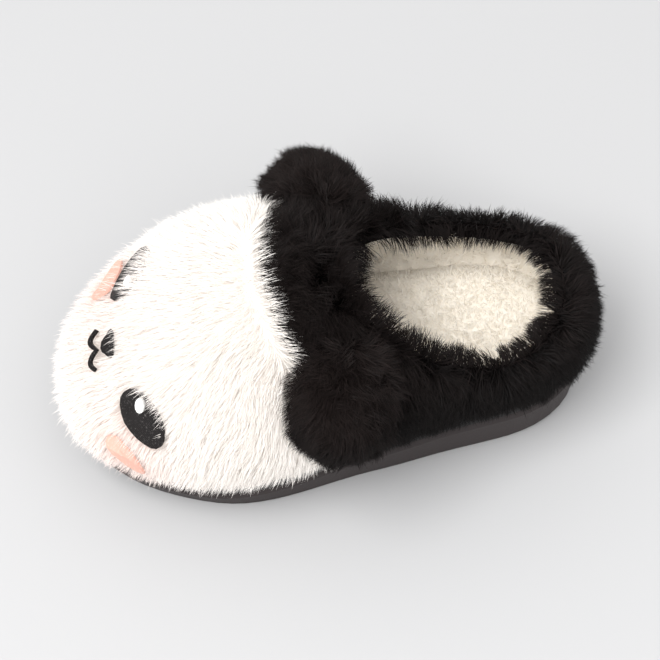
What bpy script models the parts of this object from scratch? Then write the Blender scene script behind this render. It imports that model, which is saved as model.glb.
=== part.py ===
# Panda plush slipper, left shoe: foam sole, covered platform, fleece footbed and a hollow plush upper
# with a white face panel, drooping ears and an embroidered face. Metres, +Z up, toe towards +Y,
# +X is the wearer's right, which is the inner side of this left shoe.

import math

import bmesh
import bpy
import numpy as np
from mathutils import Vector
from mathutils.bvhtree import BVHTree

MM = 0.001
GAP = 0.3 * MM

# Sole outline: length and full widths of the four named stations
SOLE_LENGTH = 200 * MM
HEEL_WIDTH = 73 * MM
WAIST_WIDTH = 84 * MM
BALL_WIDTH = 102 * MM
TOE_WIDTH = 96 * MM
TOE_BEND = 5.5 * MM
END_ROUNDNESS = 2.3

# Heights of the sole, the platform and the footbed
SOLE_HEEL_HEIGHT = 20 * MM
SOLE_TOE_HEIGHT = 12.5 * MM
SOLE_DRAFT = 3 * MM
SOLE_STEP_HEIGHT = 3.4 * MM
SOLE_STEP_DEPTH = 0.8 * MM
SOLE_SHOULDER = 1.5 * MM
TOE_SPRING = 4.5 * MM
TOE_SPRING_START = 0.80
TOE_SPRING_REACH = 0.24
HEEL_SPRING = 1.2 * MM
HEEL_SPRING_END = 0.07
HEEL_SPRING_REACH = 0.09
SLOPE_START = 0.18
SLOPE_REACH = 0.55
SPRING_KEPT = 0.6
BAND_HEIGHT = 10.5 * MM
BAND_ROUNDING = 2.5 * MM
INSOLE_THICKNESS = 5 * MM
INSOLE_DISH = 1.3 * MM
INSOLE_CLEARANCE = 0.6 * MM

# Tread
TREAD_PITCH = 12.5 * MM
TREAD_WIDTH = 2.8 * MM
TREAD_DEPTH = 2 * MM
TREAD_SWEEP = 10 * MM
TREAD_EDGE = 8 * MM
PAD_LENGTH = 16 * MM
HEEL_PAD_PLACE = -0.30 * SOLE_LENGTH
BALL_PAD_PLACE = 0.18 * SOLE_LENGTH

# Upper: pile, wall and collar
PILE_OVERHANG = 3.5 * MM
PILE_DEPTH = 7.5 * MM
WALL = 10.5 * MM
INSTEP_HEIGHT = 98 * MM
COLLAR_FRONT = -14 * MM
COLLAR_BACK = -85 * MM
COLLAR_WIDTH = 50 * MM
LIP = 9 * MM
LIP_CROWN = 1.6 * MM
BULGE = 6.5 * MM
COLLAR_SQUARENESS = 2.3
COLLAR_TAPER = 0.08
LOCK_RELIEF = 2 * MM
HEM_DROP = 3.2 * MM
HEM_ZIGZAG = 2.2 * MM
HEM_TUCK = 1.2 * MM
HEM_UNDERSIDE = 1.3 * MM
HEM_UNDER_RISE = 0.4
LOCK_SPACING = 6 * MM

# Seam between the white face and the black pile
SEAM_TOP = 19 * MM
SEAM_SIDE = 1 * MM
SEAM_CURVE = 2.2
SEAM_GAP = 0.5 * MM
SEAM_ZIGZAG = 1.8 * MM
CORNER_CLEARANCE = 0.12
LEAST_FACE_HEIGHT = 5 * MM

# Face, set a little to the outer side, its lines slanting forward towards the inner side.
# Turns and droops are in radians.
FACE_SHIFT = -8.5 * MM
SLANT = 0.06
EYE_SPREAD = 27 * MM
EYE_PLACE = 66.3 * MM
EYE_LENGTH = 25 * MM
EYE_WIDTH = 15.5 * MM
EYE_TURN = -0.75
GLINT_LENGTH = 5.5 * MM
GLINT_WIDTH = 4.1 * MM
GLINT_RISE = 5.6 * MM
CHEEK_LENGTH = 20 * MM
CHEEK_WIDTH = 8.0 * MM
CHEEK_SPREAD = 30.0 * MM
CHEEK_PLACE = 75.0 * MM
NOSE_WIDTH = 11 * MM
NOSE_HEIGHT = 6 * MM
NOSE_CORNERS = 0.18
NOSE_PLACE = 75.4 * MM
MOUTH_WIDTH = 17 * MM
MOUTH_LINE = 1.5 * MM
MOUTH_ARC = 0.16
MOUTH_PLACE = 79.9 * MM
STITCH_THICKNESS = 1.0 * MM
STITCH_GAP = 0.45 * MM
FACE_DENT = 3.5 * MM

# Ears
EAR_WIDTH = 39 * MM
EAR_LENGTH = 46 * MM
EAR_THICKNESS = 15 * MM
EAR_PLACE = -5 * MM
EAR_LIFT = 5 * MM
EAR_SEAT = 0.1 * MM
EAR_EDGE = 2 * MM
EAR_NOTCH = 0.035
EAR_ROOT_SPREAD = 25 * MM
EAR_DROOP_OUTER = 1.15
EAR_DROOP_INNER = 0.92

# Mesh density: an even number of stations around the shoe
STATIONS = 84
FACE_ROWS = 12
BLACK_ROWS = 10
LINING_ROWS = 8
LIP_ROWS = 3
GLINT_POINTS = 12
EYE_POINTS = 20
EYE_RINGS = 3
CHEEK_POINTS = 16
NOSE_POINTS = 15
EAR_POINTS = 24
EAR_RINGS = 5
MOUTH_STEPS = 17
TANGENT_STEP = 4 * MM
RAY_START = 120 * MM
RAY_REACH = 300 * MM

# Share of the length, named width, share of that width on the outer side
OUTLINE_TABLE = (
    (0.00, HEEL_WIDTH, 0.49),
    (0.16, HEEL_WIDTH, 0.49),
    (0.42, WAIST_WIDTH, 0.52),
    (0.68, BALL_WIDTH, 0.51),
    (0.86, TOE_WIDTH, 0.49),
    (1.00, TOE_WIDTH * 0.97, 0.49),
)
HEEL_ROUND_SHARE = 0.25
TOE_ROUND_SHARE = 0.31

# Share of the length, height of the pile's top line as a share of the instep height
TOP_TABLE = (
    (0.00, 0.665),
    (0.08, 0.685),
    (0.20, 0.725),
    (0.35, 0.800),
    (0.48, 0.915),
    (0.55, 0.980),
    (0.62, 1.000),
    (0.69, 0.965),
    (0.76, 0.880),
    (0.83, 0.745),
    (0.89, 0.630),
    (0.95, 0.565),
    (1.00, 0.535),
)

# Share of the length, exponent of the rounded cross-section
SECTION_TABLE = (
    (0.00, 3.0),
    (0.30, 2.8),
    (0.55, 2.35),
    (0.75, 2.2),
    (1.00, 2.3),
)
TOE_CAP = 26 * MM
HEEL_CAP = 10 * MM
CAP_ROUNDNESS = 2.2

# Outline grown by, height above the ground: the sole's side up to just over its step
SOLE_SIDE_TABLE = (
    (-SOLE_DRAFT - 2.0 * MM, 0.0 * MM),
    (-SOLE_DRAFT, 1.2 * MM),
    (-SOLE_DRAFT + 0.3 * MM, SOLE_STEP_HEIGHT),
    (-SOLE_DRAFT + 0.3 * MM + SOLE_STEP_DEPTH, SOLE_STEP_HEIGHT + 0.6 * MM),
)

# Outline grown by, height above the sole: the covered band's side
BAND_SIDE_TABLE = (
    (-2.0 * MM, 0.0 * MM),
    (-0.6 * MM, 1.2 * MM),
    (-0.2 * MM, 0.55 * BAND_HEIGHT),
    (-0.8 * MM, BAND_HEIGHT - BAND_ROUNDING),
    (-BAND_ROUNDING, BAND_HEIGHT),
)

# Distance in from the lining, height above the feather edge: the footbed's side and dish
INSOLE_SIDE_TABLE = (
    (0.8 * MM, 0.0 * MM),
    (1.6 * MM, 0.6 * INSOLE_THICKNESS),
    (5.0 * MM, INSOLE_THICKNESS),
    (10.0 * MM, INSOLE_THICKNESS - INSOLE_DISH),
)

BLACK_PILE = (0.018, 0.014, 0.013, 1.0)
WHITE_PILE = (0.93, 0.89, 0.84, 1.0)
CREAM_FLEECE = (0.84, 0.77, 0.66, 1.0)
BAND_BLACK = (0.030, 0.025, 0.023, 1.0)
SOLE_TAUPE = (0.085, 0.072, 0.072, 1.0)
THREAD_BLACK = (0.012, 0.010, 0.010, 1.0)
THREAD_WHITE = (0.90, 0.90, 0.88, 1.0)
THREAD_SALMON = (0.80, 0.38, 0.28, 1.0)


def clear_scene():
    for thing in list(bpy.data.objects):
        bpy.data.objects.remove(thing, do_unlink=True)


def make_material(name, colour, roughness):
    material = bpy.data.materials.new(name)
    material.use_nodes = True
    shader = material.node_tree.nodes["Principled BSDF"]
    shader.inputs["Base Color"].default_value = colour
    shader.inputs["Roughness"].default_value = roughness
    shader.inputs["Metallic"].default_value = 0.0
    return material


def ease(share):
    share = np.clip(share, 0.0, 1.0)
    return share * share * (3 - 2 * share)


def table_curve(table, column, share):
    """Smooth curve through one column of a table, with flat tangents at its peaks."""
    xs = np.array([row[0] for row in table])
    ys = np.array([row[column] for row in table])
    steps = np.diff(ys) / np.diff(xs)
    slopes = np.zeros(len(xs))
    same = steps[:-1] * steps[1:] > 0
    slopes[1:-1][same] = 2 * (steps[:-1] * steps[1:])[same] / (steps[:-1] + steps[1:])[same]
    slopes[0], slopes[-1] = steps[0], steps[-1]
    share = np.clip(np.asarray(share, float), 0.0, 1.0)
    k = np.clip(np.searchsorted(xs, share, side="right") - 1, 0, len(xs) - 2)
    width = xs[k + 1] - xs[k]
    u = (share - xs[k]) / width
    return (
        ys[k] * (1 + 2 * u) * (1 - u) ** 2
        + slopes[k] * width * u * (1 - u) ** 2
        + ys[k + 1] * (3 - 2 * u) * u**2
        + slopes[k + 1] * width * (u - 1) * u**2
    )


def rounded_end(depth, reach, power):
    """0 at the very end, 1 from reach inwards."""
    u = np.clip(1 - depth / reach, 0.0, 1.0)
    return (1 - u**power) ** (1 / power)


def centre_line(y):
    """Sideways place of the foot's middle line, which bends towards the toe."""
    share = np.clip(y / SOLE_LENGTH + 0.5, 0.0, 1.1)
    return TOE_BEND * (0.33 - share**2)


def half_width(y, grow, side):
    """Distance from the centre line to the outline grown by grow; side -1 is the outer side."""
    length = SOLE_LENGTH + 2 * grow
    share = np.clip(y / length + 0.5, 0.0, 1.0)
    full = table_curve(OUTLINE_TABLE, 1, share)
    lean = table_curve(OUTLINE_TABLE, 2, share)
    part = full * (lean if side < 0 else 1 - lean) + grow
    ends = rounded_end(share, HEEL_ROUND_SHARE, END_ROUNDNESS)
    return part * ends * rounded_end(1 - share, TOE_ROUND_SHARE, END_ROUNDNESS)


def side_curve(grow, side):
    """Dense outline of one side from heel tip to toe tip."""
    share = 0.5 - 0.5 * np.cos(np.linspace(0, math.pi, 700))
    share = 0.5 - 0.5 * np.cos(math.pi * share)
    y = (share - 0.5) * (SOLE_LENGTH + 2 * grow)
    return np.column_stack([centre_line(y) + side * half_width(y, grow, side), y])


def along(curve, shares):
    """Points at shares of the arc length of a polyline."""
    steps = np.linalg.norm(np.diff(curve, axis=0), axis=1)
    way = np.concatenate([[0.0], np.cumsum(steps)])
    at = np.asarray(shares) * way[-1]
    return np.column_stack([np.interp(at, way, curve[:, k]) for k in range(curve.shape[1])])


def side_shares():
    """Even shares of one side's length, from heel tip to toe tip."""
    return np.linspace(0, 1, STATIONS // 2 + 1)


def outline_ring(grow):
    """Ring of points round the outline: up the outer side, back down the inner side."""
    shares = side_shares()
    outer = along(side_curve(grow, -1), shares)
    inner = along(side_curve(grow, 1), shares)
    return np.vstack([outer, inner[-2:0:-1]])


def ground(y):
    """Underside of the sole: flat, lifted at the toe and a little at the heel."""
    share = y / SOLE_LENGTH + 0.5
    toe = ease((share - TOE_SPRING_START) / TOE_SPRING_REACH)
    heel = ease((HEEL_SPRING_END - share) / HEEL_SPRING_REACH)
    return TOE_SPRING * toe + HEEL_SPRING * heel


def sole_top(y):
    """Top of the sole: level at the heel, lower in front, with part of the toe spring."""
    share = y / SOLE_LENGTH + 0.5
    slope = ease((share - SLOPE_START) / SLOPE_REACH)
    level = SOLE_HEEL_HEIGHT + (SOLE_TOE_HEIGHT - SOLE_HEEL_HEIGHT) * slope
    return level + SPRING_KEPT * ground(y)


def feather_height(y):
    """Level on which the upper's edge and the insole lie."""
    return sole_top(y) + GAP + BAND_HEIGHT + GAP


def collar_ring(grow):
    """Opening of the collar, grown by grow: rounded point in front, squarer behind."""
    turn = math.pi * (1 - (1 - side_shares()) ** 1.5)
    middle = (COLLAR_FRONT + COLLAR_BACK) / 2
    reach = (COLLAR_FRONT - COLLAR_BACK) / 2 + grow
    half = COLLAR_WIDTH / 2 + grow
    x = half * np.sin(turn) ** (2 / COLLAR_SQUARENESS) * (1 + COLLAR_TAPER * np.cos(turn))
    y = middle - reach * np.sign(np.cos(turn)) * np.abs(np.cos(turn)) ** (2 / COLLAR_SQUARENESS)
    outer = np.column_stack([centre_line(y) - x, y])
    inner = np.column_stack([centre_line(y) + x, y])
    return np.vstack([outer, inner[-2:0:-1]])


def form_height(xy, inset):
    """Height of the upper's form over a plan point; inset 0 is the tips of the pile."""
    grow = PILE_OVERHANG - inset
    x, y = xy[..., 0], xy[..., 1]
    length = SOLE_LENGTH + 2 * grow
    share = y / length + 0.5
    base = feather_height(y)
    rise = table_curve(TOP_TABLE, 1, share) * INSTEP_HEIGHT - base - inset
    across = x - centre_line(y)
    outer = half_width(y, grow, -1)
    inner = half_width(y, grow, 1)
    half = np.maximum(np.where(across < 0, outer, inner), 1e-6)
    power = table_curve(SECTION_TABLE, 1, share)
    arch = (1 - np.clip(np.abs(across) / half, 0, 1) ** power) ** (1 / power)
    toe = rounded_end((1 - share) * length, TOE_CAP, CAP_ROUNDNESS)
    heel = rounded_end(share * length, HEEL_CAP, CAP_ROUNDNESS)
    return base + np.maximum(rise, 0) * arch * toe * heel


def meridians(inset, end_grow):
    """Dense lines over the form, from its outline up to the collar, one for each station."""
    start = outline_ring(PILE_OVERHANG - inset)
    end = collar_ring(end_grow)
    way = np.linspace(0, 1, 260) ** 2.4
    xy = start[:, None, :] + (end - start)[:, None, :] * way[None, :, None]
    height = form_height(xy, inset)
    swell = BULGE * bulge_share(height - height[:, :1]) * (1 - 0.5 * inset / WALL)
    xy = xy + outward(start)[:, None, :2] * swell[:, :, None]
    return np.dstack([xy, height])


def bulge_share(rise):
    """How far the plush swells sideways at a height above the hem: none at hem and top."""
    share = np.clip(rise / (0.6 * INSTEP_HEIGHT), 0, 1)
    return np.sin(math.pi * share**0.8)


def seam_line(x):
    """Place along the shoe of the seam at a distance x from the centre line."""
    reach = BALL_WIDTH / 2
    curve = (SEAM_SIDE - SEAM_TOP) * np.clip(np.abs(x) / reach, 0, 1) ** SEAM_CURVE
    return SEAM_TOP + SLANT * x + curve


def seam_shares(lines, shift):
    """Share of each meridian's arc length at which it meets the seam, moved by shift."""
    shares = np.zeros(len(lines))
    for k, line in enumerate(lines):
        steps = np.linalg.norm(np.diff(line, axis=0), axis=1)
        way = np.concatenate([[0.0], np.cumsum(steps)])
        zigzag = SEAM_ZIGZAG * (1 if k % 2 else -1)
        ahead = line[:, 1] - seam_line(line[:, 0] - centre_line(line[:, 1])) - zigzag - shift
        if ahead[0] > 0:
            shares[k] = np.interp(0, -ahead, way) / way[-1]
    return shares


def face_stations(lines):
    """Stations whose meridians start in the white face, with room for its rows."""
    shares = seam_shares(lines, 0.0)
    lengths = np.linalg.norm(np.diff(lines, axis=1), axis=2).sum(1)
    return shares * lengths > LEAST_FACE_HEIGHT


def rows_between(lines, low, high, count, crowd=1.0):
    """count + 1 rows of points between two shares of each meridian, closer together at low."""
    rows = []
    for part in np.linspace(0, 1, count + 1) ** crowd:
        shares = low + (high - low) * part
        rows.append(np.vstack([along(line, [share]) for line, share in zip(lines, shares)]))
    return rows


def row_normals(rows):
    """Outward normals of a ringed grid of rows."""
    grid = np.array(rows)
    round_way = np.roll(grid, -1, axis=1) - np.roll(grid, 1, axis=1)
    up_way = np.gradient(grid, axis=0)
    normal = np.cross(up_way, round_way)
    size = np.linalg.norm(normal, axis=2, keepdims=True)
    return normal / np.maximum(size, 1e-9)


def add_locks(rows, amount):
    """Push rows in and out as overlapping pointed locks; the first and last row stay put."""
    normals = row_normals(rows)
    grid = np.array(rows)
    spacing = np.linalg.norm(np.roll(grid, -1, axis=1) - grid, axis=2)
    fine = np.clip(spacing / LOCK_SPACING, 0.15, 1.0)
    made = []
    for j, row in enumerate(rows):
        edge = 0.0 if j in (0, len(rows) - 1) else 1.0
        columns = np.arange(row.shape[0])
        staggered = ((columns + (j // 2) % 2) % 2) * 2 - 1
        step = 0.5 if j % 2 == 0 else -0.5
        push = amount * edge * (step + 0.5 * staggered - 1) / 2
        made.append(row + normals[j] * (push * fine[j])[:, None])
    return made


def ring_faces(row_count, ring, closed_rows):
    faces = []
    last = row_count if closed_rows else row_count - 1
    for j in range(last):
        for k in range(ring):
            a, b = j * ring + k, j * ring + (k + 1) % ring
            above = ((j + 1) % row_count) * ring
            faces.append((a, b, above + (k + 1) % ring, above + k))
    return faces


def make_object(name, points, faces, material, smooth_angle=50.0):
    """Closed mesh object from points and faces; points that coincide are merged."""
    work = bmesh.new()
    verts = [work.verts.new(Vector(point)) for point in points]
    for face in faces:
        corners = []
        for index in face:
            if verts[index] not in corners:
                corners.append(verts[index])
        if len(corners) > 2:
            work.faces.new(corners)
    bmesh.ops.remove_doubles(work, verts=work.verts, dist=0.00002)
    bmesh.ops.dissolve_degenerate(work, edges=work.edges, dist=0.00001)
    bmesh.ops.triangulate(work, faces=work.faces)
    bmesh.ops.recalc_face_normals(work, faces=work.faces)
    if work.calc_volume(signed=True) < 0:
        bmesh.ops.reverse_faces(work, faces=work.faces)
    mesh = bpy.data.meshes.new(name)
    work.to_mesh(mesh)
    work.free()
    mesh.materials.append(material)
    mesh.shade_smooth()
    mesh.set_sharp_from_angle(angle=math.radians(smooth_angle))
    thing = bpy.data.objects.new(name, mesh)
    bpy.context.scene.collection.objects.link(thing)
    return thing


def layered_slab(name, layers, material):
    """Solid from stacked outline rings, closed across the foot at top and bottom."""
    ring = STATIONS
    points = np.vstack(layers)
    faces = ring_faces(len(layers), ring, False)
    top = (len(layers) - 1) * ring
    for base in (0, top):
        for k in range(ring // 2):
            quad = [base + k, base + k + 1, base + (ring - k - 1) % ring, base + (ring - k) % ring]
            faces.append(tuple(dict.fromkeys(quad)))
    return make_object(name, points, faces, material)


def lay(ring, height):
    return np.column_stack([ring, height])


def make_outsole(material):
    """Foam sole with its step line, draft and tread."""
    layers = []
    for grow, rise in SOLE_SIDE_TABLE:
        ring = outline_ring(grow)
        layers.append(lay(ring, ground(ring[:, 1]) + rise))
    shoulder = outline_ring(0.0)
    layers.append(lay(shoulder, sole_top(shoulder[:, 1]) - SOLE_SHOULDER))
    rim = outline_ring(-SOLE_SHOULDER)
    layers.append(lay(rim, sole_top(rim[:, 1])))
    cut_tread(layered_slab("outsole", layers, material))


def tread_places():
    """Places of the chevrons, leaving a plain pad under the heel and under the ball."""
    half = SOLE_LENGTH / 2 - TREAD_EDGE * 2
    count = int(2 * half / TREAD_PITCH)
    places = [(k - (count - 1) / 2) * TREAD_PITCH for k in range(count)]
    pads = (HEEL_PAD_PLACE, BALL_PAD_PLACE)
    clear = PAD_LENGTH / 2
    return [y for y in places if all(abs(y + TREAD_SWEEP / 2 - pad) > clear for pad in pads)]


def cut_tread(sole):
    """Chevron grooves across the underside, joined into one cutter and taken away."""
    work = bmesh.new()
    for place in tread_places():
        for side in (-1, 1):
            middle = centre_line(place)
            reach = float(half_width(place, 0.0, side)) - SOLE_DRAFT - TREAD_EDGE
            low, high = -5 * MM, float(ground(place)) + TREAD_DEPTH
            near, far = middle + side * TREAD_WIDTH * 0.8, middle + side * reach
            plan = [
                (near, place + TREAD_SWEEP),
                (far, place),
                (far, place + TREAD_WIDTH),
                (near, place + TREAD_SWEEP + TREAD_WIDTH),
            ]
            below = [work.verts.new((x, y, low)) for x, y in plan]
            above = [work.verts.new((x, y, high)) for x, y in plan]
            work.faces.new(below)
            work.faces.new(above)
            for k in range(4):
                m = (k + 1) % 4
                work.faces.new((below[k], below[m], above[m], above[k]))
    bmesh.ops.recalc_face_normals(work, faces=work.faces)
    mesh = bpy.data.meshes.new("tread_cutter")
    work.to_mesh(mesh)
    work.free()
    cutter = bpy.data.objects.new("tread_cutter", mesh)
    bpy.context.scene.collection.objects.link(cutter)
    cutter.hide_render = True
    cutter.display_type = "WIRE"
    cut = sole.modifiers.new("tread", "BOOLEAN")
    cut.operation = "DIFFERENCE"
    cut.solver = "EXACT"
    cut.object = cutter


def make_midsole(material):
    """Covered platform band between the sole and the fur."""
    layers = []
    for grow, rise in BAND_SIDE_TABLE:
        ring = outline_ring(grow)
        layers.append(lay(ring, sole_top(ring[:, 1]) + GAP + rise))
    layered_slab("midsole", layers, material)


def make_insole(material):
    """Fleece footbed, dished a little, clear of the lining."""
    inset = WALL - PILE_OVERHANG + INSOLE_CLEARANCE
    layers = []
    for more, rise in INSOLE_SIDE_TABLE:
        ring = outline_ring(-inset - more)
        layers.append(lay(ring, feather_height(ring[:, 1]) + rise))
    layered_slab("insole", layers, material)


def lip_rows(outer_edge, inner_edge):
    """Rolled rim from the outer crest over to the lining."""
    rows = []
    for k in range(1, LIP_ROWS + 1):
        turn = math.pi / 2 * k / (LIP_ROWS + 1)
        across = 1 - math.cos(turn)
        row = outer_edge + (inner_edge - outer_edge) * across
        drop = outer_edge[:, 2] - inner_edge[:, 2]
        row[:, 2] = outer_edge[:, 2] - drop * (1 - math.cos(turn))
        row[:, 2] += LIP_CROWN * math.sin(turn * 2)
        rows.append(row)
    return rows


def face_place(spread, place):
    """Plan position of something on the face, after its shift and slant."""
    return centre_line(place) + FACE_SHIFT + spread, place + SLANT * spread


def face_dents(row):
    """Depth by which the pile is shorter around the embroidered pieces."""
    depth = np.zeros(len(row))
    for side in (-1, 1):
        for spread, place, reach in (
            (EYE_SPREAD, EYE_PLACE, EYE_LENGTH),
            (CHEEK_SPREAD, CHEEK_PLACE, CHEEK_LENGTH),
        ):
            x, y = face_place(side * spread, place)
            away = np.hypot(row[:, 0] - x, row[:, 1] - y) / (reach * 0.5)
            depth = np.maximum(depth, FACE_DENT * (1 - ease((away - 0.7) / 0.9)))
    x, y = face_place(0.0, (NOSE_PLACE + MOUTH_PLACE) / 2)
    away = np.hypot((row[:, 0] - x) / 1.2, row[:, 1] - y) / (MOUTH_WIDTH / 2)
    return np.maximum(depth, 0.6 * FACE_DENT * (1 - ease((away - 0.7) / 0.9)))


def hem_mask(inside):
    """Stations that carry hanging tips: all of a stretch but its first and last."""
    return inside & np.roll(inside, 1) & np.roll(inside, -1)


def hem_rows(lines, inside, normals_out):
    """Hanging tips of the pile below the feather edge, and their underside."""
    start = lines[:, 0, :]
    count = len(start)
    mask = hem_mask(inside)
    zigzag = np.where(np.arange(count) % 2, 1.0, -0.2)
    drop = (HEM_DROP + HEM_ZIGZAG * zigzag) * mask
    tip = start - normals_out * HEM_TUCK
    tip[:, 2] = start[:, 2] - drop
    under = start - normals_out * (PILE_OVERHANG - HEM_UNDERSIDE)
    under[:, 2] = start[:, 2] - HEM_UNDER_RISE * drop
    return tip, under


def outward(ring):
    way = np.roll(ring, -1, axis=0) - np.roll(ring, 1, axis=0)
    side = np.column_stack([-way[:, 1], way[:, 0], np.zeros(len(ring))])
    return side / np.linalg.norm(side, axis=1, keepdims=True)


def make_upper(material):
    """One hollow body: pile outside, rolled collar, lining inside, open underneath."""
    pile = meridians(0.0, LIP)
    recess = meridians(PILE_DEPTH + SEAM_GAP, LIP * 0.4)
    lining = meridians(WALL, 0.0)
    face = face_stations(pile)
    seam = np.where(face, seam_shares(pile, 0.0), 0.0)
    deep_seam = np.where(face, seam_shares(recess, 0.0), 0.0)
    full = np.ones(len(pile))

    recessed = rows_between(recess, deep_seam * 0, deep_seam, FACE_ROWS // 2)
    start = pile[:, 0, :]
    for row in recessed:
        row[~face] = start[~face]
    raised = rows_between(pile, seam, full, BLACK_ROWS)
    raised = add_locks(raised, LOCK_RELIEF)
    crest = raised[-1]
    inner = rows_between(lining, full * 0, full, LINING_ROWS, 1.7)[::-1]
    lip = lip_rows(crest, inner[0])

    out = outward(outline_ring(PILE_OVERHANG))
    tip, under = hem_rows(pile, ~face, out)
    edge = lay(outline_ring(-BAND_ROUNDING), inner[-1][:, 2])
    hem_tip = np.where(face[:, None], recessed[0], tip)
    hem_under = np.where(face[:, None], recessed[0], under)
    hem_edge = np.where(face[:, None], recessed[0], edge)
    hem_edge[:, 2] = np.where(face, recessed[0][:, 2], feather_height(edge[:, 1]))

    rows = [hem_edge, hem_under, hem_tip] + recessed + raised + lip + inner
    points = np.vstack(rows)
    faces = ring_faces(len(rows), len(pile), True)
    return make_object("upper", points, faces, material)


def make_face_panel(material):
    """White pile between two of the upper's forms, from the hem to the seam."""
    pile = meridians(0.0, LIP)
    backing = meridians(PILE_DEPTH, LIP * 0.4)
    face = face_stations(pile)
    seam = seam_shares(pile, SEAM_GAP)
    back_seam = seam_shares(backing, SEAM_GAP)
    none = np.zeros(len(pile))

    outer = rows_between(pile, none, seam, FACE_ROWS)
    normals = row_normals(outer)
    shaped = []
    for j, (row, normal) in enumerate(zip(outer, normals)):
        edge = min(1.0, j / 2)
        shaped.append(row - normal * (edge * face_dents(row))[:, None])
    calm = 1 - np.clip(sum(face_dents(row) for row in outer) / FACE_DENT, 0, 1) * 0.6
    shaped = add_locks(shaped, LOCK_RELIEF * 0.8 * calm)
    inner = rows_between(backing, back_seam, none, FACE_ROWS // 2)
    out = outward(outline_ring(PILE_OVERHANG))
    tip, under = hem_rows(pile, face, out)
    edge_ring = outline_ring(-BAND_ROUNDING)
    edge = lay(edge_ring, feather_height(edge_ring[:, 1]))

    rows = [edge, under, tip] + shaped + inner
    chosen = np.flatnonzero(face)
    grid = np.array(rows)[:, chosen, :]
    for end, beside in ((0, 1), (-1, -2)):
        grid[:, end] += CORNER_CLEARANCE * (grid[:, beside] - grid[:, end])
    count, ring = grid.shape[0], grid.shape[1]
    points = grid.reshape(-1, 3)
    faces = []
    for j in range(count):
        above = ((j + 1) % count) * ring
        for k in range(ring - 1):
            faces.append((j * ring + k, j * ring + k + 1, above + k + 1, above + k))
    for k in (0, ring - 1):
        loop = [j * ring + k for j in range(count)]
        faces.extend(end_strip(loop, len(shaped) + 3))
    return make_object("face_panel", points, faces, material)


def end_strip(loop, outer_count):
    """Closes the narrow end of the panel between its outer and its inner rows."""
    outer = loop[:outer_count]
    inner = loop[outer_count:][::-1]
    faces = []
    a, b = 0, 0
    while a < len(outer) - 1 or b < len(inner) - 1:
        share_a = (a + 1) / (len(outer) - 1) if a < len(outer) - 1 else 2
        share_b = (b + 1) / (len(inner) - 1) if b < len(inner) - 1 else 2
        if share_a <= share_b:
            faces.append((outer[a], outer[a + 1], inner[b]))
            a += 1
        else:
            faces.append((outer[a], inner[b + 1], inner[b]))
            b += 1
    return faces


def surface_tree(thing):
    mesh = thing.data
    verts = [vertex.co.copy() for vertex in mesh.vertices]
    return BVHTree.FromPolygons(verts, [tuple(face.vertices) for face in mesh.polygons])


def drop_on(tree, points, direction):
    """Points moved along a direction onto a surface."""
    direction = Vector(direction).normalized()
    landed = []
    for point in points:
        start = Vector(point) - direction * RAY_START
        hit, _, _, _ = tree.ray_cast(start, direction, RAY_REACH)
        if hit is None:
            hit, _, _, _ = tree.find_nearest(Vector(point))
        landed.append(hit)
    return np.array(landed)


def local_grid(outline, rings):
    """Points of a flat patch: a middle point and rings scaled from its outline."""
    points = [np.zeros(2)]
    for k in range(1, rings + 1):
        points.extend(outline * (k / rings))
    return np.array(points)


def patch_faces(count, rings, offset, flip):
    faces = []
    for k in range(count):
        faces.append((offset, offset + 1 + k, offset + 1 + (k + 1) % count))
    for ring in range(rings - 1):
        base = offset + 1 + ring * count
        for k in range(count):
            m = (k + 1) % count
            faces.append((base + k, base + count + k, base + count + m, base + m))
    return [tuple(reversed(face)) for face in faces] if flip else faces


def stitched_patch(name, tree, centre, across, up, outline, rings, material):
    """Thin embroidered piece that follows the surface under it."""
    direction = -np.cross(across, up)
    if direction[2] > 0:
        direction = -direction
    flat = local_grid(outline, rings)
    points = centre + flat[:, :1] * across + flat[:, 1:] * up
    landed = drop_on(tree, points, direction)
    away = -direction / np.linalg.norm(direction)
    low = landed + away * STITCH_GAP
    high = low + away * STITCH_THICKNESS
    count = len(outline)
    size = len(flat)
    rim = size - count
    faces = patch_faces(count, rings, 0, True) + patch_faces(count, rings, size, False)
    for k in range(count):
        m = (k + 1) % count
        faces.append((rim + k, rim + m, size + rim + m, size + rim + k))
    return make_object(name, np.vstack([low, high]), faces, material)


def oval(length, width, count):
    turn = np.linspace(0, 2 * math.pi, count, endpoint=False)
    return np.column_stack([np.cos(turn) * length / 2, np.sin(turn) * width / 2])


def turned(outline, angle):
    c, s = math.cos(angle), math.sin(angle)
    return outline @ np.array([[c, s], [-s, c]])


def face_frame(spread, place):
    """Centre, across and along directions of a place on the face, tangent to the form."""
    x, y = face_place(spread, place)
    step = TANGENT_STEP
    here = np.array([x, y])
    z = float(form_height(here, FACE_DENT))
    dx = float(form_height(here + [step, 0], FACE_DENT) - form_height(here - [step, 0], FACE_DENT))
    dy = float(form_height(here + [0, step], FACE_DENT) - form_height(here - [0, step], FACE_DENT))
    across = np.array([2 * step, 0, dx])
    forward = np.array([0, 2 * step, dy])
    across /= np.linalg.norm(across)
    forward -= across * np.dot(forward, across)
    forward /= np.linalg.norm(forward)
    return np.array([x, y, z]), across, forward


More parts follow.
